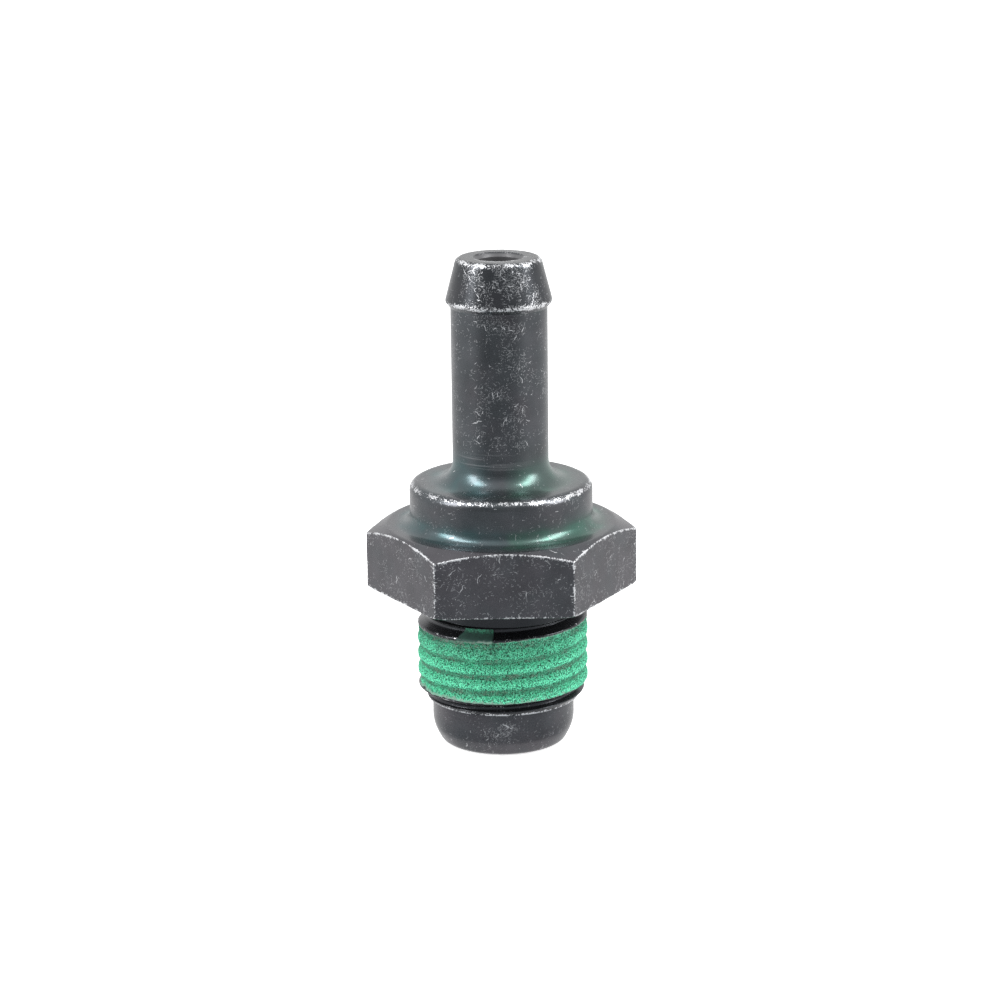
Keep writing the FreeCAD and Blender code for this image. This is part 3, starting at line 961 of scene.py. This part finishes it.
@dataclass
class ValveBody:
    """The one-piece turned body: skirt, thread, neck, hexagon, collar, nipple and passages."""

    thread: Thread
    node: str = "valve_body"
    skirt_radius: float = 6.68
    skirt_roll: float = 5.9
    skirt_roll_angle: float = math.radians(27.5)
    skirt_edge: float = 0.66
    lip_opening: float = 4.3
    lip_thickness: float = 1.5
    hexagon_flat: float = 11.0
    hexagon_bottom: float = 14.97
    hexagon_top: float = 21.2
    hexagon_slope: float = math.tan(math.radians(25.5))
    hexagon_edge: float = 0.2
    top_chamfer: float = 10.7
    bottom_chamfer: float = 0.34
    collar_radius: float = 8.55
    collar_top: float = 25.25
    nipple_radius: float = 4.475
    nipple_top: float = 46.29
    barb_radius: float = 4.93
    barb_shoulder: float = 42.2
    barb_land: float = 0.15
    barb_slope: float = math.tan(math.radians(14.5))
    bore_radius: float = 1.98
    bore_chamfer: float = 0.38
    chamber_radius: float = 5.2
    chamber_roof: float = 20.5
    washer_pocket: float = 5.6
    seat_height: float = 2.7
    sealed_from: float = 5.75
    sealed_to: float = 10.9
    sealed_bed: float = 0.06
    seal_ramp: float = 0.2
    nick_depth: float = 0.05
    fine_nicks: Ripple = Ripple(11, 260, 0.3)
    broad_nicks: Ripple = Ripple(12, 90, 0.9)
    edge_fade: float = 0.22
    hairline_height: float = 27.8
    hairline_angle: float = math.radians(250)
    tube_foot: tuple[float, float] = (28.0, 29.6)
    cluster_height: float = 2.6
    cluster_size: tuple[float, float] = (1.3, 0.9)

    def angles(self) -> np.ndarray:
        """Space the columns, close together at the hexagon's corners.

        Returns:
            Angles in radians, from the seam at the back once round the axis.
        """
        near = np.array([0, 0.1, 0.2, 0.3, 0.4, 0.47, 0.58, 0.8])
        wide = np.linspace(1.2, 30, 15)
        half = np.concatenate([near, wide])
        sector = np.concatenate([-half[::-1], half[1:-1]])
        degrees = np.concatenate([60 * number + 30 + sector for number in range(6)])
        return SEAM + np.radians(degrees)

    def hexagon_radius(self, angles: np.ndarray) -> np.ndarray:
        """Find the hexagon's outline, with its corners rounded.

        Args:
            angles: Angles round the axis, in radians.

        Returns:
            The radius at each angle, in millimetres.
        """
        sixth = TURN / 6
        off_corner = off_nearest(angles, 6)
        flat = self.hexagon_flat / np.cos(sixth / 2 - np.abs(off_corner))
        centre = (self.hexagon_flat - self.hexagon_edge) / math.cos(sixth / 2)
        under = np.maximum(self.hexagon_edge ** 2 - (centre * np.sin(off_corner)) ** 2, 0)
        rounded = centre * np.cos(off_corner) + np.sqrt(under)
        flat_end = (self.hexagon_flat - self.hexagon_edge) * math.tan(sixth / 2)
        tangent = sixth / 2 - math.atan(flat_end / self.hexagon_flat)
        return np.where(np.abs(off_corner) < tangent, rounded, flat)

    def outline(self, angles: np.ndarray) -> TurnedOutline:
        """Draw the outline, from the rolled lip up the outside and back down through the passages.

        Args:
            angles: The columns' angles, in radians.

        Returns:
            The closed outline.
        """
        roll_reach = self.skirt_roll * math.tan(self.skirt_roll_angle / 2)
        edge_rise = self.skirt_edge * (1 - math.sin(self.skirt_roll_angle))
        roll_height = edge_rise + self.skirt_roll * math.sin(self.skirt_roll_angle) - roll_reach
        flat_radius = self.skirt_radius - roll_height * math.tan(self.skirt_roll_angle)
        full = self.thread.start + self.thread.lead_in
        side = self.hexagon_radius(angles)
        uncut = self.hexagon_flat / math.cos(TURN / 12) - self.bottom_chamfer
        bottom_width = np.maximum(side - uncut, 0.09)
        bottom_height = self.hexagon_bottom + bottom_width * self.hexagon_slope
        top_height = self.hexagon_top - (side - self.top_chamfer) * self.hexagon_slope
        cone_start = self.barb_shoulder + self.barb_land
        tip_radius = self.barb_radius - (self.nipple_top - cone_start) * self.barb_slope
        cut, six = Form.THREADED, Form.HEXAGON
        return TurnedOutline([
            Corner(self.lip_opening, 0, 0.4, 0.3, 0.2, 0.4),
            Corner(flat_radius, 0, self.skirt_edge, 0.3, 0.3, 0.4),
            Corner(self.skirt_radius, roll_height, self.skirt_roll, 0, 0.22, 0.4),
            Corner(self.skirt_radius, self.thread.start, 0.07, 0, 0.12, 0.5),
            Corner(self.thread.start_radius, self.thread.start, 0.04, 1.0, 0, 0.3),
            Corner(self.thread.start_radius + 0.02, self.thread.start + 0.12, 0.04, 0.85, 0, 0.05),
            Corner(self.thread.radius, full, 0.1, 0.35, 0.1, 0.06, cut),
            Corner(self.thread.radius, self.sealed_from, 0.1, 0, 0.1, 0.05, cut),
            Corner(self.thread.radius, self.sealed_to, 0.1, 0, 0, 0.2, cut),
            Corner(self.thread.radius, self.thread.full_end, 0.1, 0.1, 0.05, 0.08, cut),
            Corner(self.thread.end_radius, self.thread.end, 0.15, 0, 0, 0.05, cut),
            Corner(self.thread.end_radius, self.hexagon_bottom, 0.3, 0, 0, 0.5),
            Corner(side - bottom_width, self.hexagon_bottom, 0.06, 0.55, 0.15, 0.7),
            Corner(side, bottom_height, 0.07, 0.85, 0.3, 0.5, fade=0.16),
            Corner(side, top_height, 0.1, 0.98, 0.42, 0.6, six, 0.12),
            Corner(self.top_chamfer, self.hexagon_top, 0.6, 0.1, 0.06, 0.35),
            Corner(self.collar_radius, self.hexagon_top, 1.1, 0, 0.12, 0.35),
            Corner(self.collar_radius, self.collar_top, 0.85, 0.8, 0.15, 0.4, fade=0.15),
            Corner(self.nipple_radius, self.collar_top, 2.0, 0, 0.1, 0.4),
            Corner(self.nipple_radius, self.barb_shoulder - 0.52, 0.12, 0, 0.7, 0.75),
            Corner(self.barb_radius, self.barb_shoulder, 0.35, 0.95, 0.6, 0.2),
            Corner(self.barb_radius, cone_start, 0.3, 0.9, 0.9, 0.2),
            Corner(tip_radius, self.nipple_top, 0.6, 0.82, 1.9, 0.35),
            Corner(self.bore_radius + self.bore_chamfer, self.nipple_top, 0.06, 0.7, 1.2, 0.3, fade=0.4),
            Corner(self.bore_radius, self.nipple_top - self.bore_chamfer, 0.06, 0.1, 0.1, 0.3),
            Corner(self.bore_radius, self.chamber_roof + self.bore_chamfer, 0.06, 0, 0, 2.5),
            Corner(self.bore_radius + self.bore_chamfer, self.chamber_roof, 0.06, 0, 0, 0.5),
            Corner(self.chamber_radius, self.chamber_roof, 0.1, 0, 0, 1.0),
            Corner(self.chamber_radius, self.seat_height, 0.03, 0, 0, 3.0),
            Corner(self.washer_pocket, self.seat_height, 0.03, 0, 0, 0.3),
            Corner(self.washer_pocket, self.lip_thickness, 0.05, 0, 0, 0.5),
            Corner(self.lip_opening, self.lip_thickness, 0.08, 0.2, 0, 0.4),
        ])

    def build(self) -> bpy.types.Object:
        """Sweep the outline, cut the thread, nick the edges and dress the piece.

        Returns:
            The finished piece.
        """
        angles = self.angles()
        rings = self.outline(angles).rings(len(angles))
        height = rings.height
        thread = self.thread.surface(angles, height)
        sealed = smooth_step(self.sealed_from, self.sealed_from + self.seal_ramp, height)
        sealed = sealed * (1 - smooth_step(self.sealed_to - self.seal_ramp, self.sealed_to, height))
        cut = np.minimum(rings.radius, thread - self.sealed_bed * sealed)
        threaded = rings.mask(Form.THREADED)
        rings.radius = np.where(threaded, cut, rings.radius)
        wear = np.broadcast_to(rings.wear[:, None], rings.radius.shape).copy()
        off_corner = np.abs(off_nearest(angles, 6)) * self.hexagon_flat
        upright = np.maximum(wear, np.exp(-off_corner / self.edge_fade))
        wear = np.where(rings.mask(Form.HEXAGON), upright, wear)
        front = self._turned_from(angles, FRONT)
        mouth = (height > self.nipple_top - 0.2) & (rings.radius < self.bore_radius + self.bore_chamfer + 0.8)
        # At the bore mouth the rubbed-bright wear is raised at the front and cut at the back: partly wear,
        # partly a painted highlight along the front rim.
        wear = np.where(mouth, wear * np.maximum(0.6 + np.cos(front), 0.3), wear)
        crests = self.thread.radius - self.sealed_bed - rings.radius
        wear = np.where(threaded, np.maximum(wear, 0.75 * np.exp(-np.abs(crests) / 0.06)), wear)
        nicks = self.fine_nicks.at(angles, height) * 0.5 + self.broad_nicks.at(angles, height) * 0.5
        rings.radius = rings.radius - self.nick_depth * np.clip(nicks, 0, 1) * wear * (wear > 0.15)
        up, across = height - self.hairline_height, self._turned_from(angles, self.hairline_angle)
        around = self._unroll_radius(rings)
        piece = Skin(self.node + "_looks", rings.points(angles), True, rings.along, around).build({
            Mark.WEAR: wear,
            Mark.HOLLOW: rings.hollow[:, None],
            Mark.SCUFF: self._scuff(rings, angles),
            Mark.SHADE: self._painted_shade(rings),
            Mark.BARE: self._bare(rings),
            Mark.STREAK_AND_SHADE: np.exp(-(up / 0.8) ** 2 - (across / 0.6) ** 2),
        })
        return dress(piece, PlatedSteel().material(), "body", self.node)

    def _scuff(self, rings: Rings, angles: np.ndarray) -> np.ndarray:
        """Gather the nipple's scuffs in front and at the back, and add a cluster on the skirt.

        Args:
            rings: The swept rows.
            angles: The columns' angles, in radians.

        Returns:
            The mark for each point.
        """
        front = self._turned_from(angles, FRONT)
        facing = np.abs(np.cos(front))
        tube = 0.45 + 0.75 * smooth_step(0.72, 0.92, facing)
        tube = tube * (0.2 + 0.8 * smooth_step(*self.tube_foot, rings.height))
        barb = 0.12 + 0.93 * smooth_step(0.6, 0.8, facing)
        share = np.where(rings.height > self.barb_shoulder - 0.3, barb, tube)
        share = np.where(rings.height > self.collar_top + 0.5, share, 1)
        across = front * self.skirt_radius / self.cluster_size[0]
        up = (rings.height - self.cluster_height) / self.cluster_size[1]
        outside = rings.radius > self.lip_opening + 1
        cluster = 3.0 * np.exp(-across ** 2 - up ** 2) * outside
        return rings.scuff[:, None] * share + np.where(rings.height < self.thread.start, cluster, 0)

    def _turned_from(self, angles: np.ndarray, direction: float) -> np.ndarray:
        """Measure how far each column is turned from one direction, from 0 to half a turn."""
        across = (angles - direction) % TURN
        return np.minimum(across, TURN - across)

    def _painted_shade(self, rings: Rings) -> np.ndarray:
        """Mark where the plating is darker, partly its own darker coat and partly painted shade: on the
        thread and in the neck under the hexagon, and a little on the barb, whose reflections it dims.

        Args:
            rings: The swept rows.

        Returns:
            The mark for each point.
        """
        neck = self.hexagon_bottom + 0.3
        near = rings.radius < self.thread.radius + 0.4
        low = near & (rings.height > self.thread.start) & (rings.height < neck)
        # Painted shade: 0.8 on the thread and in the neck, 0.6 on the barb.
        return np.where(low, 0.8, np.where(rings.height > self.barb_shoulder, 0.6, 0))

    def _bare(self, rings: Rings) -> np.ndarray:
        """Mark the passages, whose cut walls are bare.

        Args:
            rings: The swept rows.

        Returns:
            The mark for each point.
        """
        inside = np.where(rings.height > self.chamber_roof, self.bore_radius + 0.2, self.washer_pocket + 0.1)
        lip = rings.height < self.lip_thickness - 0.01
        return np.where((rings.radius < inside) & ~lip, 1, 0)

    def _unroll_radius(self, rings: Rings) -> np.ndarray:
        """Choose the radius at which each band of the surface is unrolled.

        Args:
            rings: The swept rows.

        Returns:
            One radius for each row, the same over stretches that belong together.
        """
        steps = np.array([self.nipple_radius, self.skirt_radius, self.thread.radius, self.hexagon_flat])
        mean = rings.radius.mean(1)
        return steps[np.abs(mean[:, None] - steps).argmin(1)]


@dataclass
class SealantBand:
    """The band of dried sealant on the thread, ragged along both edges."""

    thread: Thread
    node: str = "thread_sealant"
    columns: int = 540
    outer_rows: int = 92
    inner_rows: int = 56
    crest: float = 8.03
    valley: float = 7.65
    film: float = 0.014
    low_edge: float = 5.65
    high_edge: float = 12.2
    smear_from: float = 241
    smear_to: float = 262.5
    smear_top: float = 12.8
    left_dip: float = 0.85
    filled: float = 0.2
    filled_heights: tuple[float, float] = (9.6, 10.6)
    fine_edge: Ripple = Ripple(21, 120, 1)
    broad_edge: Ripple = Ripple(22, 34, 1)
    grains: Ripple = Ripple(23, 230, 0.2)
    lumps: Ripple = Ripple(24, 50, 0.9)

    def edges(self, angles: np.ndarray) -> tuple[np.ndarray, np.ndarray, np.ndarray]:
        """Place the band's ragged lower edge, the top of its thick part and its upper edge.

        Args:
            angles: The columns' angles, in radians.

        Returns:
            Their heights, in millimetres.
        """
        zero = np.zeros_like(angles)
        ragged = self.fine_edge.at(angles, zero) * 0.05 + self.broad_edge.at(angles, zero) * 0.08
        low = self.low_edge + 0.08 + ragged
        left = 0.5 - 0.5 * np.cos(angles - math.radians(20))
        high = self.high_edge - 0.12 + ragged - self.left_dip * left ** 3
        start, end = self.smear_from, self.smear_to
        degrees = np.degrees(angles) % 360
        smear = np.interp(degrees, [start - 6, start, end, end + 0.3], [0, 1, 1, 0])
        return low, high, high + (self.smear_top + 0.3 * ragged - high) * smear

    def build(self) -> bpy.types.Object:
        """Lay the band on the thread and dress it.

        Returns:
            The finished piece.
        """
        angles = even_angles(self.columns)
        low, thick, high = self.edges(angles)
        shares = np.linspace(0, 1, self.outer_rows)[:, None]
        height = low + (high - low) * shares
        thread = self.thread.surface(angles, height)
        turns = (height - self.thread.first_crest) / self.thread.pitch - angles / TURN
        wave = 0.5 + 0.5 * np.cos(turns * TURN)
        swayed = height + 0.4 * np.sin(angles * 2)
        filled = self.valley + self.filled * smooth_step(*self.filled_heights, swayed)
        target = filled + (self.crest - filled) * wave ** 0.55
        coarse = self.grains.at(angles, height)
        broad = self.lumps.at(angles, height)
        target = target + 0.022 * coarse + 0.03 * broad * (1 - wave)
        edge = np.minimum(height - low, high - height)
        laid = smooth_step(0, 0.3, np.minimum(height - low, thick - height))
        outer = np.maximum(thread, thread + (target - thread) * laid) + self.film * smooth_step(0, 0.05, edge)
        outer = np.minimum(outer, self.crest + 0.005)
        shares = np.linspace(1, 0, self.inner_rows + 2)[1:-1, None]
        inner_height = low + (high - low) * shares
        inner = self.thread.surface(angles, inner_height) - 0.03
        points = swept(np.vstack([outer, inner]), angles, np.vstack([height, inner_height]))
        # The furrow mark, raised over the upper front, drives the painted shade and the dirt in the furrows
        # and holds the ridge highlight back.
        streak_and_shade = smooth_step(0.3, 0.14, np.abs((turns - 0.14) % 1 - 0.5))
        flat = 0.5 * smooth_step(9.3, 10.4, height) * smooth_step(0.1, 0.6, -np.sin(angles + 0.2))
        streak_and_shade = np.maximum(streak_and_shade, flat) * (0.85 + 0.4 * broad)
        # The dark thin film is real; its share drops above 12.3 mm, which lightens the upward-facing top
        # strip as painted light from above.
        film = smooth_step(-0.05, 0.1, height - thick) * (1 - 0.6 * smooth_step(12.3, 12.5, height))
        rim = np.exp(-np.minimum((height - low) / 0.34, np.abs(thick - height) / 0.16))
        found = {Mark.STREAK_AND_SHADE: streak_and_shade, Mark.RIM: rim, Mark.THIN: film}
        marks = {mark: np.vstack([shown, np.zeros_like(inner)]) for mark, shown in found.items()}
        along = np.concatenate([height.mean(1), inner_height.mean(1)])
        around = np.full(len(along), self.thread.radius)
        piece = Skin(self.node + "_looks", points, True, along, around).build(marks)
        return dress(piece, DriedSealant().material(), "body", self.node)


@dataclass
class SeatWasher:
    """The washer under the plunger, clamped by the rolled lip."""

    node: str = "seat_washer"
    orifice: float = 2.2
    chamfer: float = 0.3
    columns: int = 144

    def build(self) -> bpy.types.Object:
        """Turn the washer and dress it.

        Returns:
            The finished piece.
        """
        low, high = box_mm(self.node)
        outline = TurnedOutline([
            Corner(self.orifice + self.chamfer, low[2], 0.04, 0.5, 0.3, 0.3),
            Corner(high[0], low[2], 0.08, 0.3, 0.3, 0.3),
            Corner(high[0], high[2], 0.08, 0.3, 0.3, 0.4),
            Corner(self.orifice, high[2], 0.05, 0.4, 0.3, 0.3),
            Corner(self.orifice, low[2] + self.chamfer, 0.04, 0.4, 0.3, 0.3),
        ])
        return turned_piece(outline, self.columns, self.node, "body", WASHER_STEEL)


def turned_piece(
    outline: TurnedOutline, columns: int, node: str, body: str, finish: BrightSteel
) -> bpy.types.Object:
    """Turn a plain outline into a dressed piece.

    Args:
        outline: The outline.
        columns: How many columns stand round the axis.
        node: The CAD node that the piece stands for.
        body: The body that it rides on.
        finish: Its finish, whose name is also its slot's.

    Returns:
        The finished piece.
    """
    angles = even_angles(columns)
    rings = outline.rings(columns)
    around = np.full(len(rings.along), float(rings.radius.max()))
    skin = Skin(node + "_looks", rings.points(angles), outline.closed, rings.along, around)
    piece = skin.build({Mark.WEAR: rings.wear[:, None]})
    return dress(piece, finish.material(), body, node)


@dataclass
class Plunger:
    """The metering plunger, with four flats on its flange for the gas."""

    node: str = "plunger"
    flange_radius: float = 5.12
    flange_thickness: float = 1.6
    flange_chamfer: float = 0.25
    flat_distance: float = 4.2
    pilot_radius: float = 2.75
    pilot_length: float = 1.3
    shoulder_length: float = 0.8
    stem_radius: float = 1.75
    stem_top: float = 16.8
    nose_radius: float = 0.95
    nose_rounding: float = 0.5
    columns: int = 192

    def build(self) -> bpy.types.Object:
        """Turn the plunger, mill its flats and dress it.

        Returns:
            The finished piece.
        """
        low, high = box_mm(self.node)
        off_flat = np.abs(off_nearest(even_angles(self.columns), 4))
        rim = np.minimum(self.flange_radius, self.flat_distance / np.cos(off_flat))
        face = np.minimum(self.flange_radius - self.flange_chamfer, rim - 0.04)
        top = low[2] + self.flange_thickness
        chamfer = np.maximum(self.flange_chamfer - (self.flange_radius - rim), 0.04)
        pilot_top = top + self.pilot_length
        outline = TurnedOutline([
            Corner(0.05, low[2]),
            Corner(face, low[2], 0.04, 0.4, 0.2, 0.4),
            Corner(rim, low[2] + chamfer, 0.04, 0.3),
            Corner(rim, top - chamfer, 0.04, 0.3, 0.2, 0.4),
            Corner(face, top, 0.04, 0.3),
            Corner(self.pilot_radius, top, 0.05, 0),
            Corner(self.pilot_radius, pilot_top, 0.1, 0.4, 0.2, 0.4),
            Corner(self.stem_radius, pilot_top + self.shoulder_length, 0.3),
            Corner(self.stem_radius, self.stem_top, 0.2, 0.2, 0.2, 1.0),
            Corner(self.nose_radius, high[2] - self.nose_rounding, 0.2, 0, 0.2, 0.5),
            Corner(self.nose_radius, high[2], self.nose_rounding * 0.95, 0.3),
            Corner(0.05, high[2]),
        ], closed=False)
        return turned_piece(outline, self.columns, self.node, "plunger", PLUNGER_STEEL)


@dataclass
class ReturnSpring:
    """The compression spring, with a closed turn ground flat at each end."""

    node: str = "valve_spring"
    wire_radius: float = 0.275
    coil_radius: float = 3.275
    grinding: float = 0.12
    closed_pitch: float = 0.63
    active_turns: int = 6
    steps_per_turn: int = 64
    wire_columns: int = 16
    lift: float = 4.5

    def build(self) -> bpy.types.Object:
        """Wind the wire, grind its ends and dress it.

        Returns:
            The finished piece.
        """
        foot = box_mm("plunger")[0][2] + Plunger.flange_thickness
        roof = ValveBody.chamber_roof
        first = foot + self.wire_radius - self.grinding
        last = roof - self.wire_radius + self.grinding
        turns = self.active_turns + 2
        wound = np.linspace(0, turns, turns * self.steps_per_turn + 1)
        knots = [0, 1, turns - 1, turns]
        climb = np.interp(wound, knots, [first, first + self.closed_pitch, last - self.closed_pitch, last])
        angle = wound * TURN
        wire = np.arange(self.wire_columns) / self.wire_columns * TURN
        out = self.coil_radius + self.wire_radius * np.cos(wire)
        up = climb[:, None] - self.wire_radius * np.sin(wire)
        points = swept(out, angle[:, None], np.clip(up, foot, roof))
        along = angle * self.coil_radius
        around = np.full(len(along), self.wire_radius)
        skin = Skin(self.node + "_looks", points, False, along, around)
        piece = skin.build({Mark.WEAR: np.zeros((len(along), 1))})
        dress(piece, SPRING_WIRE.material(), "body", self.node)
        length = roof - foot
        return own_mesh(piece, "plunger_slide", (0, 0, 1), (0, 0, roof * MM), (length - self.lift) / length)


@dataclass(frozen=True)
class FlagRow:
    """One row of the grey flag: distance and height in metres, lightness, and reach in degrees."""

    distance: float
    height: float
    light: float
    reach: float


@dataclass
class Studio:
    """The pale floor, the soft lights, the grey flag in front and the camera."""

    floor_radius: float = 0.9
    floor_columns: int = 96
    floor_colour: Colour = (0.8, 0.8, 0.8)
    floor_glow: float = 0.62
    white: Colour = (1.0, 1.0, 1.0)
    level: float = 0.5
    lamp_power: float = 3.2
    lamp_size: tuple[float, float] = (0.2, 0.5)
    lamp_distance: float = 0.6
    lamp_rise: float = math.radians(40)
    flag_turn: float = -4.0
    flag_columns: int = 61
    flag_fades_from: float = 0.42
    flag_colour: Colour = (0.93, 0.98, 1.02)
    flag_rows: tuple[FlagRow, ...] = (
        # The first three rows lie on the floor: a painted shadow, a darker floor near the valve that only
        # reflections see.
        FlagRow(0.0072, 0.0002, 0.54, 102),
        FlagRow(0.030, 0.0002, 0.56, 98),
        FlagRow(0.060, 0.0002, 0.58, 92),
        FlagRow(0.062, 0.008, 0.55, 76),
        FlagRow(0.062, 0.016, 0.44, 70),
        FlagRow(0.062, 0.024, 0.33, 68),
        FlagRow(0.062, 0.058, 0.34, 64),
        FlagRow(0.062, 0.085, 0.9, 60),
    )
    camera_place: tuple[float, float, float] = (-0.005099, -0.275136, 0.098067)
    camera_aim: tuple[float, float, float] = (-0.000106, 0.000002, 0.023202)
    camera_roll: float = math.radians(-0.667)
    lens: float = 109.84
    sensor: float = 36.0

    def surroundings(self) -> None:
        """Light the object evenly from the world, which itself shows white."""
        world = bpy.data.worlds.new("studio")
        bpy.context.scene.world = world
        world.use_nodes = True
        graph = Graph(world.node_tree)
        path = graph.node("LightPath")
        seen = graph.most(graph.most(path, path["Is Glossy Ray"]), path["Is Transmission Ray"])
        light = graph.node("Background", {"Color": self.white, "Strength": self.level})
        white = graph.node("Background", {"Color": self.white, "Strength": 1.0})
        graph.add("OutputWorld", {"Surface": graph.mix(seen, light, white)})

    def floor(self) -> None:
        """Lay the pale floor, which is clear from below."""
        angles = np.arange(self.floor_columns) / self.floor_columns * TURN
        rim = [(math.cos(a) * self.floor_radius, math.sin(a) * self.floor_radius, 0.0) for a in angles]
        mesh = bpy.data.meshes.new("floor")
        mesh.from_pydata(rim, [], [list(range(self.floor_columns))])
        material, graph = new_material("pale_floor")
        path = graph.node("LightPath")
        plain = graph.node("BsdfDiffuse", {"Color": self.floor_colour})
        glow = graph.node("Emission", {"Color": self.white, "Strength": self.floor_glow})
        seen = graph.mix(path, plain, graph.node("AddShader", {0: plain, 1: glow}))
        mirrored = graph.most(path["Is Glossy Ray"], path["Is Transmission Ray"])
        seen = graph.mix(mirrored, seen, graph.node("Emission", {"Color": self.white, "Strength": 1.0}))
        below = graph.node("NewGeometry")["Backfacing"]
        graph.add("OutputMaterial", {"Surface": graph.mix(below, seen, graph.node("BsdfTransparent"))})
        self._stage("floor", mesh, material)

    def flag(self) -> None:
        """Stand a curved grey flag in front, which only reflections see, fading towards its sides; its rows
        on the floor are a painted shadow near the valve.
        """
        vertices, cover, level = [], [], []
        for row in self.flag_rows:
            for share in np.linspace(-1, 1, self.flag_columns):
                angle = math.radians(share * row.reach + self.flag_turn)
                vertices.append((math.sin(angle) * row.distance, -math.cos(angle) * row.distance, row.height))
                cover.append(1 - smooth_step(self.flag_fades_from, 1, abs(share)))
                level.append(row.light)
        columns = self.flag_columns
        faces = []
        for row in range(len(self.flag_rows) - 1):
            for column in range(columns - 1):
                corner = row * columns + column
                faces.append((corner, corner + 1, corner + columns + 1, corner + columns))
        mesh = bpy.data.meshes.new("grey_flag_and_floor_shadow")
        mesh.from_pydata(vertices, [], faces)
        for name, values in (("cover", cover), ("level", level)):
            mesh.attributes.new(name, "FLOAT", "POINT").data.foreach_set("value", values)
        material, graph = new_material("flag_cloth")
        light = graph.node("Attribute", attribute_name="level")["Fac"]
        share = graph.node("Attribute", attribute_name="cover")["Fac"]
        cloth = graph.node("Emission", {"Color": self.flag_colour, "Strength": light})
        graph.add("OutputMaterial", {"Surface": graph.mix(share, graph.node("BsdfTransparent"), cloth)})
        made = self._stage("grey_flag_and_floor_shadow", mesh, material)
        made.visible_camera = False
        made.visible_diffuse = False
        made.visible_shadow = False
        made.visible_transmission = False

    def _stage(self, name: str, mesh: bpy.types.Mesh, material: bpy.types.Material) -> bpy.types.Object:
        """Add an object that isn't part of the valve.

        Args:
            name: Its name.
            mesh: Its mesh.
            material: Its material.

        Returns:
            The object.
        """
        mesh.materials.append(material)
        made = bpy.data.objects.new(name, mesh)
        bpy.context.scene.collection.objects.link(made)
        return made

    def lamp(self, name: str, turn: float) -> None:
        """Hang one softbox that faces the valve.

        Args:
            name: The lamp's name.
            turn: Its direction from the front, in degrees, positive to the right.
        """
        light = bpy.data.lights.new(name, "AREA")
        light.shape = "RECTANGLE"
        light.size, light.size_y = self.lamp_size
        light.energy = self.lamp_power
        made = bpy.data.objects.new(name, light)
        across, up = math.radians(turn), self.lamp_rise
        toward = Vector((math.sin(across) * math.cos(up), -math.cos(across) * math.cos(up), math.sin(up)))
        made.location = Vector(self.camera_aim) + toward * self.lamp_distance
        made.rotation_euler = toward.to_track_quat("Z", "Y").to_euler()
        bpy.context.scene.collection.objects.link(made)

    def camera(self) -> None:
        """Place the camera at the photograph's viewing angle."""
        data = bpy.data.cameras.new("camera")
        data.lens, data.sensor_width = self.lens, self.sensor
        data.clip_start, data.clip_end = 0.01, 10
        made = bpy.data.objects.new("camera", data)
        place, aim = Vector(self.camera_place), Vector(self.camera_aim)
        look = (place - aim).to_track_quat("Z", "Y").to_matrix().to_4x4()
        made.matrix_world = Matrix.Translation(place) @ look @ Matrix.Rotation(self.camera_roll, 4, "Z")
        bpy.context.scene.collection.objects.link(made)
        bpy.context.scene.camera = made

    def build(self) -> None:
        """Set up everything round the valve."""
        self.camera()
        self.surroundings()
        self.floor()
        self.flag()
        self.lamp("left_softbox", -72)
        self.lamp("right_softbox", 78)
        bpy.context.scene.view_settings.view_transform = "Standard"


def main() -> None:
    """Build the studio and the pieces in order."""
    logging.basicConfig(level=logging.INFO, format="%(message)s")
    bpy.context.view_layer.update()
    Studio().build()
    thread = Thread()
    for maker in (ValveBody(thread), SealantBand(thread), SeatWasher(), Plunger(), ReturnSpring()):
        piece = maker.build()
        log.info("%s: %d faces", piece.name, len(piece.data.polygons))


if __name__ == "__main__":
    main()
